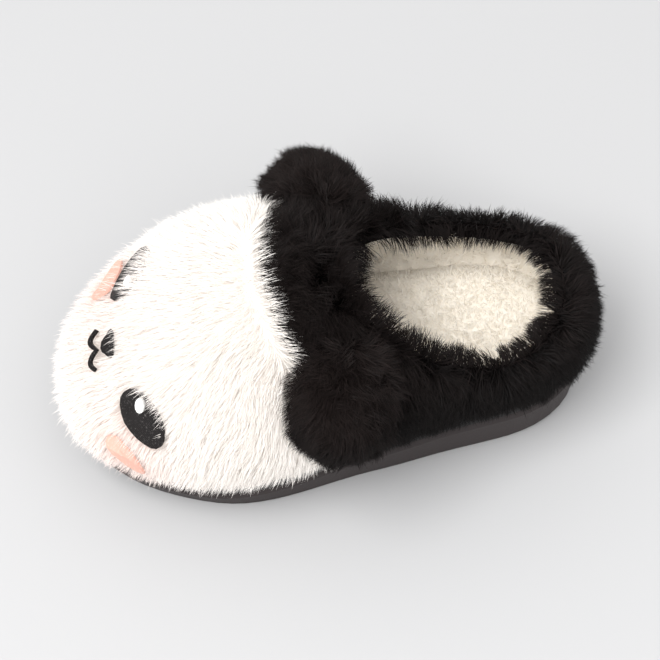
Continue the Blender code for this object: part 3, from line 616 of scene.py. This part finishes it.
def node(tree, kind, links=(), **values):
    """A node with its plain settings, its socket values and its incoming links."""
    made = tree.nodes.new(kind)
    for key, value in values.items():
        if key.startswith("in_"):
            made.inputs[int(key[3:])].default_value = value
        else:
            setattr(made, key, value)
    for target, source in links:
        tree.links.new(source, made.inputs[target])
    return made


def fibre_group():
    """Colour of a strand: darker at its root, its own shade, and a tint where the piece has one; on
    the black fur the lighter tips and the tint are painted sheen.
    """
    group, start, end = new_group(
        "fibre colour",
        [
            ("Root", "NodeSocketColor", (0.5, 0.5, 0.5, 1)),
            ("Tip", "NodeSocketColor", (0.8, 0.8, 0.8, 1)),
            ("Tint", "NodeSocketColor", (0.8, 0.4, 0.4, 1)),
            ("Spread", "NodeSocketFloat", 0.2),
        ],
        [("Color", "NodeSocketColor"), ("Gloss", "NodeSocketFloat")],
    )
    way = node(group, "ShaderNodeAttribute", attribute_name="along")
    strand = node(group, "ShaderNodeAttribute", attribute_name="strand")
    tint_and_sheen = node(group, "ShaderNodeAttribute", attribute_name="tint_and_sheen")
    root_to_tip = [(0, way.outputs["Fac"]), (6, start.outputs["Root"]), (7, start.outputs["Tip"])]
    body = node(group, "ShaderNodeMix", data_type="RGBA", links=root_to_tip)
    to_tint_and_sheen = [(0, tint_and_sheen.outputs["Fac"]), (6, body.outputs[2]), (7, start.outputs["Tint"])]
    with_tint_and_sheen = node(group, "ShaderNodeMix", data_type="RGBA", links=to_tint_and_sheen)
    centred = node(group, "ShaderNodeMath", operation="SUBTRACT", in_1=0.5,
                   links=[(0, strand.outputs["Fac"])])
    shift = node(group, "ShaderNodeMath", operation="MULTIPLY_ADD", in_2=1.0,
                 links=[(0, centred.outputs[0]), (1, start.outputs["Spread"])])
    shaded = node(group, "ShaderNodeHueSaturation",
                  links=[(2, shift.outputs[0]), (4, with_tint_and_sheen.outputs[2])])
    gloss = node(group, "ShaderNodeMapRange", in_3=0.45, in_4=0.75,
                 links=[(0, strand.outputs["Fac"])])
    group.links.new(shaded.outputs[0], end.inputs["Color"])
    group.links.new(gloss.outputs[0], end.inputs["Gloss"])
    return group


def surface_group():
    """Grain of a surface: two colours mixed by cloudy and fine noise, roughness and height."""
    group, start, end = new_group(
        "surface grain",
        [
            ("Colour A", "NodeSocketColor", (0.5, 0.5, 0.5, 1)),
            ("Colour B", "NodeSocketColor", (0.6, 0.6, 0.6, 1)),
            ("Cloud Scale", "NodeSocketFloat", 60.0),
            ("Grain Scale", "NodeSocketFloat", 900.0),
            ("Grain Share", "NodeSocketFloat", 0.5),
            ("Rough Low", "NodeSocketFloat", 0.4),
            ("Rough High", "NodeSocketFloat", 0.7),
        ],
        [
            ("Color", "NodeSocketColor"),
            ("Roughness", "NodeSocketFloat"),
            ("Height", "NodeSocketFloat"),
        ],
    )
    place = node(group, "ShaderNodeTexCoord")
    cloud = node(group, "ShaderNodeTexNoise", in_3=3.0,
                 links=[(0, place.outputs["Object"]), (2, start.outputs["Cloud Scale"])])
    grain = node(group, "ShaderNodeTexNoise", in_3=4.0,
                 links=[(0, place.outputs["Object"]), (2, start.outputs["Grain Scale"])])
    noises = [(0, start.outputs["Grain Share"]), (2, cloud.outputs[0]), (3, grain.outputs[0])]
    mixed = node(group, "ShaderNodeMix", data_type="FLOAT", links=noises)
    sharp = node(group, "ShaderNodeMapRange", in_1=0.3, in_2=0.7, links=[(0, mixed.outputs[0])])
    level = sharp.outputs[0]
    colours = [(0, level), (6, start.outputs["Colour A"]), (7, start.outputs["Colour B"])]
    colour = node(group, "ShaderNodeMix", data_type="RGBA", links=colours)
    limits = [(0, level), (3, start.outputs["Rough Low"]), (4, start.outputs["Rough High"])]
    rough = node(group, "ShaderNodeMapRange", links=limits)
    group.links.new(colour.outputs[2], end.inputs["Color"])
    group.links.new(rough.outputs[0], end.inputs["Roughness"])
    group.links.new(mixed.outputs[0], end.inputs["Height"])
    return group


def new_material(name):
    material = bpy.data.materials.new(name)
    material.use_nodes = True
    return material, material.node_tree, material.node_tree.nodes["Principled BSDF"]


def fur_material(name, root, tip, tint_and_sheen, spread, gloss):
    """Strand of fur or fleece: colour from root to tip, tint where a piece asks, matt shine; on the
    black fur the lighter tips and the tint are painted sheen.
    """
    material, tree, shader = new_material(name)
    colour = node(tree, "ShaderNodeGroup", node_tree=FIBRE)
    colour.inputs["Root"].default_value = (*root, 1)
    colour.inputs["Tip"].default_value = (*tip, 1)
    colour.inputs["Tint"].default_value = (*tint_and_sheen, 1)
    colour.inputs["Spread"].default_value = spread
    shader.inputs["Specular IOR Level"].default_value = gloss
    tree.links.new(colour.outputs["Color"], shader.inputs["Base Color"])
    tree.links.new(colour.outputs["Gloss"], shader.inputs["Roughness"])
    return material


def grained_material(name, a, b, cloud, grain, share, rough, bump, distance, coat=0.0, sheen=0.0,
                     gloss=0.5):
    """Cloth, foam or cover: two close colours in clouds and grain, with the grain in bump."""
    material, tree, shader = new_material(name)
    surface = node(tree, "ShaderNodeGroup", node_tree=GRAIN)
    surface.inputs["Colour A"].default_value = (*a, 1)
    surface.inputs["Colour B"].default_value = (*b, 1)
    surface.inputs["Cloud Scale"].default_value = cloud
    surface.inputs["Grain Scale"].default_value = grain
    surface.inputs["Grain Share"].default_value = share
    surface.inputs["Rough Low"].default_value = rough[0]
    surface.inputs["Rough High"].default_value = rough[1]
    relief = node(tree, "ShaderNodeBump")
    relief.inputs["Strength"].default_value = bump
    relief.inputs["Distance"].default_value = distance
    tree.links.new(surface.outputs["Height"], relief.inputs["Height"])
    tree.links.new(relief.outputs[0], shader.inputs["Normal"])
    tree.links.new(surface.outputs["Color"], shader.inputs["Base Color"])
    tree.links.new(surface.outputs["Roughness"], shader.inputs["Roughness"])
    shader.inputs["Specular IOR Level"].default_value = gloss
    shader.inputs["Coat Weight"].default_value = coat
    shader.inputs["Coat Roughness"].default_value = 0.35
    shader.inputs["Sheen Weight"].default_value = sheen
    return material


def thread_material(name, colour, fleck, turn, share=0.3, gloss=0.5):
    """Satin stitch: fine parallel threads in bump, with flecks where the fur shows through."""
    material, tree, shader = new_material(name)
    place = node(tree, "ShaderNodeTexCoord")
    turned = node(tree, "ShaderNodeMapping", in_2=(0, 0, turn),
                  links=[(0, place.outputs["Object"])])
    threads = node(tree, "ShaderNodeTexWave", in_1=900.0, in_2=1.5, in_3=2.0, in_4=2.0,
                   links=[(0, turned.outputs[0])])
    flecks = node(tree, "ShaderNodeTexNoise", in_2=1500.0, in_3=3.0, links=[(0, turned.outputs[0])])
    bright = node(tree, "ShaderNodeMapRange", in_1=0.58, in_2=0.75, in_4=share,
                  links=[(0, flecks.outputs[0])])
    mixed = node(tree, "ShaderNodeMix", data_type="RGBA", in_6=(*colour, 1), in_7=(*fleck, 1),
                 links=[(0, bright.outputs[0])])
    rough = node(tree, "ShaderNodeMapRange", in_3=0.35, in_4=0.6,
                 links=[(0, threads.outputs["Fac"])])
    relief = node(tree, "ShaderNodeBump", links=[("Height", threads.outputs["Fac"])])
    relief.inputs["Strength"].default_value = 0.6
    relief.inputs["Distance"].default_value = 0.15 * MM
    shader.inputs["Specular IOR Level"].default_value = gloss
    tree.links.new(mixed.outputs[2], shader.inputs["Base Color"])
    tree.links.new(rough.outputs[0], shader.inputs["Roughness"])
    tree.links.new(relief.outputs[0], shader.inputs["Normal"])
    return material


FIBRE = fibre_group()
GRAIN = surface_group()
WHITE_FUR = fur_material(
    "white_fur", root=(0.97, 0.915, 0.865), tip=(0.98, 0.945, 0.905), tint_and_sheen=(0.97, 0.74, 0.68),
    spread=0.03, gloss=0.2,
)
# Black fur: its lighter, browner tips and its brown tint are painted sheen
BLACK_FUR = fur_material(
    "black_fur", root=(0.002, 0.0016, 0.0016), tip=(0.0060, 0.0045, 0.0043),
    tint_and_sheen=(0.032, 0.022, 0.020), spread=0.9, gloss=0.13,
)
CREAM_PLUSH = fur_material(
    "cream_plush", root=(0.985, 0.915, 0.81), tip=(0.99, 0.95, 0.88), tint_and_sheen=(0.85, 0.75, 0.55),
    spread=0.03, gloss=0.15,
)
WHITE_BACKING = grained_material(
    "white_backing", (0.93, 0.89, 0.84), (0.97, 0.94, 0.91), cloud=120, grain=1500, share=0.6,
    rough=(0.7, 0.9), bump=0.5, distance=0.4 * MM,
)
# Cloth under the black pile and of the ear bodies, darker than the fur as painted shade deep in the
# pile
BLACK_BACKING = grained_material(
    "black_backing", (0.0015, 0.001, 0.001), (0.003, 0.002, 0.002), cloud=120, grain=1500,
    share=0.6, rough=(0.8, 0.95), bump=0.5, distance=0.4 * MM, gloss=0.05,
)
CREAM_BACKING = grained_material(
    "cream_backing", (0.97, 0.90, 0.79), (0.985, 0.94, 0.86), cloud=200, grain=1800, share=0.6,
    rough=(0.8, 0.95), bump=0.8, distance=0.6 * MM, sheen=0.2,
)
SOLE_FOAM = grained_material(
    "sole_foam", (0.032, 0.0250, 0.0250), (0.043, 0.0345, 0.0345), cloud=35, grain=2600,
    share=0.7, rough=(0.5, 0.72), bump=0.25, distance=0.12 * MM, gloss=0.3,
)
BAND_COVER = grained_material(
    "band_cover", (0.004, 0.0033, 0.0033), (0.008, 0.0065, 0.0065), cloud=90, grain=2200,
    share=0.6, rough=(0.32, 0.5), bump=0.2, distance=0.12 * MM, coat=0.03, gloss=0.22,
)
BLACK_THREAD = thread_material(
    "black_thread", (0.008, 0.006, 0.006), (0.30, 0.28, 0.27), turn=0.8, share=0.35, gloss=0.2
)
WHITE_THREAD = thread_material("white_thread", (0.92, 0.92, 0.90), (0.80, 0.80, 0.78), turn=0.8)
SALMON_THREAD = thread_material(
    "salmon_thread", (0.88, 0.48, 0.38), (0.97, 0.82, 0.76), turn=-0.6, share=0.9
)


# Padded bodies that carry the fur


cloth = skin(UNDERCOAT, RIM_EDGE, STATIONS)
lining = skin(WALL - FLEECE_DEPTH, LINING_EDGE, STATIONS)
none = np.zeros(STATIONS)
full = np.ones(STATIONS)


def seam_shares(lines):
    """Share of each line, from the hem up, at which it crosses the seam; 0 behind it."""
    shares = np.zeros(len(lines))
    for k, line in enumerate(lines):
        steps = np.linalg.norm(np.diff(line, axis=0), axis=1)
        way = np.concatenate([[0.0], np.cumsum(steps)])
        ahead = ahead_of_seam(line)
        if ahead[0] > 0:
            shares[k] = np.interp(0, -ahead, way) / way[-1]
    return shares


seam = seam_shares(cloth)


def make_upper_body():
    """The black cloth shell with its rolled collar, closed down to the lining's lower edge."""
    outside = rows_of(cloth, none, full, BLACK_ROWS)
    inside = rows_of(lining, none, full, LINING_ROWS, LINING_CROWD)[::-1]
    lip = []
    for k in range(1, LIP_ROWS + 1):
        turn = math.pi / 2 * k / (LIP_ROWS + 1)
        row = outside[-1] + (inside[0] - outside[-1]) * (1 - math.cos(turn))
        row[:, 2] = outside[-1][:, 2] - (outside[-1][:, 2] - inside[0][:, 2]) * (1 - math.cos(turn))
        row[:, 2] += RIM_CROWN * math.sin(turn * 2)
        lip.append(row)
    return lofted("upper_body", outside + lip + inside, BLACK_BACKING, closed_rows=True)


def make_face_body():
    """The white cloth over the toe, laid on the shell from its hem to the seam."""
    face = np.flatnonzero(seam > LEAST_FACE_SHARE)
    raised = skin(UNDERCOAT - FACE_RAISE, RIM_EDGE, STATIONS)[face]
    rows = rows_of(raised, none[face], seam[face], FACE_ROWS)
    thing = lofted("face_body", rows, WHITE_BACKING, closed_round=False)
    apply_modifier(thing, "SOLIDIFY", thickness=CLOTH, offset=-1.0)
    return thing


upper_body = make_upper_body()
face_body = make_face_body()


def own_frame(points):
    """Points in the form's own frame."""
    return points - OFFSET


def down_and_out(points):
    """Direction away from the collar and down, before it is laid in the surface."""
    local = own_frame(points)
    nearest_y = np.clip(local[:, 1], COLLAR_BACK + COLLAR_TURN, COLLAR_FRONT - COLLAR_TURN)
    away = np.column_stack([local[:, 0] - centre_line(nearest_y), local[:, 1] - nearest_y])
    return np.column_stack([unit(away) * PULL_AWAY, np.full(len(points), PULL_DOWN)])


def inner_axis(points):
    """Direction from the middle of the foot space to each point."""
    local = own_frame(points)
    y = np.clip(local[:, 1], FOOT_BACK, FOOT_FRONT)
    middle = np.column_stack([centre_line(y), y, np.full(len(points), FOOT_LEVEL)])
    return unit(local - middle)


def is_outside(points, normals):
    """1 for faces that look away from the foot space, else 0."""
    return ((inner_axis(points) * normals).sum(1) > 0.05).astype(float)


def outer_side(points):
    """True on the wearer's outer side of the centre line."""
    return own_frame(points)[:, 0] < centre_line(own_frame(points)[:, 1])


def clear_of_embroidery(roots, normals, sewn):
    """True for roots over which no solid lies whose name starts with sewn."""
    free = np.ones(len(roots), bool)
    for name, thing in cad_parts.items():
        if name.startswith(sewn):
            corners = [vertex.co[:] for vertex in thing.data.vertices]
            faces = [tuple(face.vertices) for face in thing.data.polygons]
            tree = BVHTree.FromPolygons(corners, faces)
            low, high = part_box(name)
            above = roots > np.array(low) - SEWN_MARGIN
            below = roots < np.array(high) + SEWN_MARGIN
            for k in np.flatnonzero(np.all(above & below, axis=1)):
                if tree.ray_cast(Vector(roots[k]), Vector(normals[k]), SEWN_DEPTH)[0] is not None:
                    free[k] = False
    return free


def distance_from(points, name):
    """Distance from the middle of a solid's box."""
    low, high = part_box(name)
    return np.linalg.norm(points - np.array((low + high) / 2), axis=1)


def height_above_hem(local):
    """Height of points in the form's own frame above the fur's lower edge."""
    return local[:, 2] - feather_height(local[:, 1])


def around_embroidery(length, reach, normals):
    """Strands that would fall over a sewn piece are cut short, but those over the inner side's eye
    and blush are long, because those two are sunk in the fur."""
    free = clear_of_embroidery(reach, normals, ("eye_", "cheek_"))
    length = np.where(free, length, FRINGE_SHARE * length)
    length = np.where(distance_from(reach, "eye_inner") < FAR_EYE_ZONE, FAR_EYE_PILE, length)
    length = np.where(distance_from(reach, "cheek_inner") < FAR_BLUSH_ZONE, FAR_BLUSH_PILE, length)
    free = clear_of_embroidery(reach, normals, ("nose", "mouth"))
    return np.where(free, length, NOSE_FRINGE_SHARE * length)


def grow_face(rng):
    """White fur: lies towards the toe and hem, and turns over the black along the seam."""
    roots, normals = scatter(face_body, FACE_ROOTS, rng, is_outside)
    free = clear_of_embroidery(roots, normals, ("eye_", "cheek_", "nose", "mouth"))
    roots, normals = roots[free][:FACE_STRANDS], normals[free][:FACE_STRANDS]
    local = own_frame(roots)
    edge = 1 - ease(ahead_of_seam(local) / SEAM_BAND)
    low = 1 - ease(height_above_hem(local) / WHITE_HEM)
    over_seam = np.array([0.0, -1.0, -0.15]) * edge[:, None] * 1.3
    lean = down_and_out(roots) * (1 - edge[:, None]) + over_seam
    lean = lean + ruffle(roots, 0.18, WIDE_TUFTS)
    rise = 0.63 - 0.1 * low + 0.23 * edge
    length = WHITE_PILE - WHITE_HEM_CUT * low
    reach = roots + unit(flatten(lean, normals)) * STRAND_REACH
    length = around_embroidery(length, reach, normals)
    blush = np.zeros(len(roots))
    for name in ("cheek_outer", "cheek_inner"):
        away = distance_from(roots, name)
        blush = np.maximum(blush, 0.46 * np.exp(-((away / BLUSH_REACH) ** 2)))
    patch = 0.13 * ease((local[:, 1] - TOE_TINT_START) / TOE_TINT_REACH) + 0.08 * low
    thing = strands("face_fur", roots, normals, lean, length, rise, WHITE_STRAND, WHITE_FUR, rng,
                    clump=0.16, clump_share=0.1, spread=0.25, tint_and_sheen=blush + patch)
    ready(thing, "white_pile")


def black_lean(roots):
    """Down the flank, back from the seam, and into the opening at the rim."""
    local = own_frame(roots)
    up = collar_closeness(roots)[:, None]
    back = ease((ahead_of_seam(local) + BACKWARD_START) / BACKWARD_REACH)[:, None]
    lean = down_and_out(roots) * (1 - back) + np.array([0.0, -0.9, -0.5]) * back
    lean = lean * (1 - up)
    inward = np.column_stack([
        centre_line(local[:, 1]) - local[:, 0],
        np.clip(local[:, 1], COLLAR_BACK + RIM_TURN, COLLAR_FRONT - RIM_TURN) - local[:, 1],
        np.zeros(len(roots)),
    ])
    return lean + unit(inward) * up + ruffle(roots, 0.3) * (1 - 0.6 * up)


COLLAR_LINE = collar_ring(RIM_EDGE, RIM_POINTS)


def ruffle(points, amount, step=TUFTS):
    """Smooth turns of the lean from place to place, so that the pile falls in tufts."""
    x, y, z = (own_frame(points) / step * 2 * math.pi).T
    swirl = np.column_stack([
        np.sin(y * 0.9 + 1.7 * np.sin(z * 0.6)),
        np.sin(x * 0.8 + 1.9 * np.sin(y * 0.5) + 2.1),
        np.sin(y * 0.7 + x * 0.5 + 1.5 * np.sin(z * 0.7) + 4.0),
    ])
    return swirl * amount


def collar_closeness(roots):
    """1 at the collar's edge, 0 where the rim's zone ends."""
    tree = KDTree(len(COLLAR_LINE))
    for k, (x, y) in enumerate(COLLAR_LINE):
        tree.insert((x, y, 0), k)
    tree.balance()
    local = own_frame(roots)
    away = np.array([tree.find((x, y, 0))[2] for x, y in local[:, :2]])
    high = height_above_hem(local) > RIM_LEAST_HEIGHT
    return (1 - ease(away / RIM_ZONE)) * high


def grow_black(name, outer, count, rng):
    """Black fur of one side: down the flank, and over the collar's edge into the opening."""

    def wanted(points, normals):
        local = own_frame(points)
        behind = ahead_of_seam(local) < -SEAM_MARGIN
        side = outer_side(points) if outer else ~outer_side(points)
        lip = (normals[:, 2] > 0.4) & (height_above_hem(local) > LIP_LEAST_HEIGHT)
        return ((is_outside(points, normals) > 0) | lip) * behind * side

    roots, normals = scatter(upper_body, count, rng, wanted)
    local = own_frame(roots)
    low = 1 - ease(height_above_hem(local) / BLACK_HEM)
    near_seam = ease((ahead_of_seam(local) + SEAM_BACK) / SEAM_BACK)
    collar = collar_closeness(roots)
    high = ease((local[:, 2] - HIGH_START) / HIGH_REACH)
    high = high * ease((local[:, 1] + HIGH_BACK) / HIGH_FADE)
    rise = 0.66 - 0.18 * low + 0.2 * near_seam + 0.1 * collar
    length = BLACK_PILE - BLACK_HEM_CUT * low - SEAM_CUT * near_seam
    length = (length + HIGH_RIM_GROWTH * high * (1 - near_seam)) * (1 - RIM_CUT * collar)
    # Painted sheen: fur that faces up is tinted lighter brown, as if lit from above
    sheen = 0.25 * ease((normals[:, 2] - 0.2) / 0.8)
    lean = black_lean(roots)
    thing = strands(name, roots, normals, lean, length, rise, BLACK_STRAND, BLACK_FUR, rng,
                    clump=0.6, clump_share=0.02, spread=0.45, tint_and_sheen=sheen)
    ready(thing, "black_pile")


grow_face(np.random.default_rng(11))
grow_black("outer_fur", True, OUTER_STRANDS, np.random.default_rng(12))
grow_black("inner_fur", False, INNER_STRANDS, np.random.default_rng(13))
ready(upper_body, "black_pile", "upper")
ready(face_body, "white_pile", "face_panel")


def make_ear(side, seed, count):
    """Stuffed ear: a smoothed copy of its solid, slimmer by the fur that it carries."""
    rng = np.random.default_rng(seed)
    body = merged_copy("ear_" + side, "ear_body_" + side, BLACK_BACKING)
    apply_modifier(body, "SMOOTH", factor=0.6, iterations=10)
    apply_modifier(body, "SUBSURF", levels=1, render_levels=1)
    low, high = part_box("ear_" + side)
    middle = (np.array(low) + np.array(high)) / 2
    points = get_points(body)
    _, normals = triangles_of(body)
    facing_out = (normals * inner_axis(points)).sum(1)
    points = points - normals * EAR_SLIMMING * ease((facing_out + 0.5) / 0.7)[:, None]
    put_points(body, points)

    def wanted(points, normals):
        return ((normals * inner_axis(points)).sum(1) > -0.35).astype(float)

    roots, facing = scatter(body, count, rng, wanted)
    radial = unit(roots - middle)
    lean = radial * 0.15 + down_and_out(roots) + ruffle(roots, 0.45, EAR_TUFTS)
    # Painted sheen: the ear's fur is tinted brown all over and more where it faces up, as if lit
    # from above
    sheen = 0.1 + 0.3 * ease(facing[:, 2])
    thing = strands("ear_fur_" + side, roots, facing, lean, EAR_PILE, 0.6, BLACK_STRAND, BLACK_FUR,
                    rng, clump=0.75, clump_share=0.018, spread=0.6, tint_and_sheen=sheen)
    ready(thing, "black_pile")
    ready(body, "black_pile", "ear_" + side)


make_ear("outer", 21, EAR_OUTER_STRANDS)
make_ear("inner", 22, EAR_INNER_STRANDS)


def make_lining(count):
    """Cream plush inside the shell, showing from the collar down to the footbed."""
    rng = np.random.default_rng(31)
    shell = skin(WALL - FLEECE_DEPTH + COVER_LIFT, COVER_EDGE, STATIONS)
    rows = rows_of(shell, none, full * COVER_SHARE, LINING_ROWS, LINING_CROWD)
    tuck = outline_ring(PILE_OVERHANG - WALL - LINING_TUCK, STATIONS)
    tuck = np.column_stack([tuck, feather_height(tuck[:, 1]) + LINING_LIFT])
    rows[0][:, 2] += LINING_LIFT
    cover = lofted("lining_cloth", rows[::-1] + [tuck], CREAM_BACKING)
    apply_modifier(cover, "SOLIDIFY", thickness=LINING_CLOTH, offset=-1.0)
    ready(cover, "fleece")

    def wanted(points, normals):
        local = own_frame(points)
        return ((inner_axis(points) * normals).sum(1) < -0.02) * (local[:, 1] < LINING_FRONT)

    roots, normals = scatter(cover, count, rng, wanted)
    lean = np.tile([0.0, 0.0, 1.0], (len(roots), 1)) + rng.normal(0, 0.6, (len(roots), 3))
    thing = strands("lining_fleece", roots, normals, lean, LINING_PILE, 0.62, FLEECE_STRAND,
                    CREAM_PLUSH, rng, clump=0.8, clump_share=0.10, spread=1.2, curl=0.45 * MM)
    ready(thing, "fleece")


def make_footbed(count):
    """Footbed of the same plush: its solid, sunk a little at the top for the pile on it."""
    rng = np.random.default_rng(32)
    bed = merged_copy("insole", "footbed_cloth", CREAM_BACKING)
    points = get_points(bed)
    _, normals = triangles_of(bed)
    points[:, 2] -= FOOTBED_SINK * ease((normals[:, 2] - 0.3) / 0.4)
    put_points(bed, points)
    ready(bed, "fleece", "insole")

    def wanted(points, normals):
        return (normals[:, 2] > 0.4) * (points[:, 1] < FOOTBED_FRONT)

    roots, facing = scatter(bed, count, rng, wanted)
    lean = rng.normal(0, 1, (len(roots), 3)) + np.array([0.0, 0.5, 0.0])
    thing = strands("footbed_fleece", roots, facing, lean, FOOTBED_PILE, 0.6, FLEECE_STRAND,
                    CREAM_PLUSH, rng, clump=0.5, clump_share=0.14, spread=1.2, curl=0.3 * MM)
    ready(thing, "fleece")


make_lining(LINING_STRANDS)
make_footbed(FOOTBED_STRANDS)

# Hard and sewn parts keep their solids and take their finish
FINISHES = {
    "outsole": SOLE_FOAM,
    "midsole": BAND_COVER,
    "eye_outer": BLACK_THREAD,
    "eye_inner": BLACK_THREAD,
    "eye_glint_outer": WHITE_THREAD,
    "eye_glint_inner": WHITE_THREAD,
    "cheek_outer": SALMON_THREAD,
    "cheek_inner": SALMON_THREAD,
    "nose": BLACK_THREAD,
    "mouth": BLACK_THREAD,
}
for name, finish in FINISHES.items():
    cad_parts[name].data.materials.clear()
    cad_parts[name].data.materials.append(finish)


# Floor, light and camera


def make_stage():
    bpy.ops.object.select_all(action="DESELECT")
    bpy.ops.mesh.primitive_plane_add(size=12, location=(0, 0, 0))
    floor = bpy.context.active_object
    floor.name = "floor"
    material, _, shader = new_material("floor_paper")
    shader.inputs["Base Color"].default_value = (0.53, 0.53, 0.535, 1)
    shader.inputs["Roughness"].default_value = 0.9
    floor.data.materials.append(material)


def add_area(name, place, size, power, aim=(0, 0, 0.03)):
    light = bpy.data.lights.new(name, "AREA")
    light.shape = "RECTANGLE"
    light.size, light.size_y = size
    light.energy = power
    lamp = bpy.data.objects.new(name, light)
    lamp.location = place
    lamp.rotation_euler = (Vector(aim) - Vector(place)).to_track_quat("-Z", "Y").to_euler()
    bpy.context.scene.collection.objects.link(lamp)


def light_up():
    world = bpy.context.scene.world or bpy.data.worlds.new("studio")
    bpy.context.scene.world = world
    world.use_nodes = True
    world.node_tree.nodes["Background"].inputs[0].default_value = (1.0, 1.0, 1.0, 1)
    world.node_tree.nodes["Background"].inputs[1].default_value = 0.86
    add_area("key", (-0.5, 0.5, 1.4), (1.0, 1.0), 20)
    add_area("fill", (-0.9, -0.6, 0.9), (1.2, 1.2), 4)
    bpy.context.scene.view_settings.view_transform = "Standard"


def make_camera():
    """Camera at the photograph's angle to the shoe, turned on its axis by the roll."""
    data = bpy.data.cameras.new("camera")
    data.lens = CAMERA_LENS
    data.sensor_width = 36
    camera = bpy.data.objects.new("camera", data)
    bpy.context.scene.collection.objects.link(camera)
    look = (Vector(CAMERA_AIM) - Vector(CAMERA_PLACE)).to_track_quat("-Z", "Y")
    roll = Quaternion((0, 0, 1), math.radians(CAMERA_ROLL))
    camera.rotation_mode = "QUATERNION"
    camera.location = CAMERA_PLACE
    camera.rotation_quaternion = look @ roll
    bpy.context.scene.camera = camera


make_stage()
light_up()
make_camera()
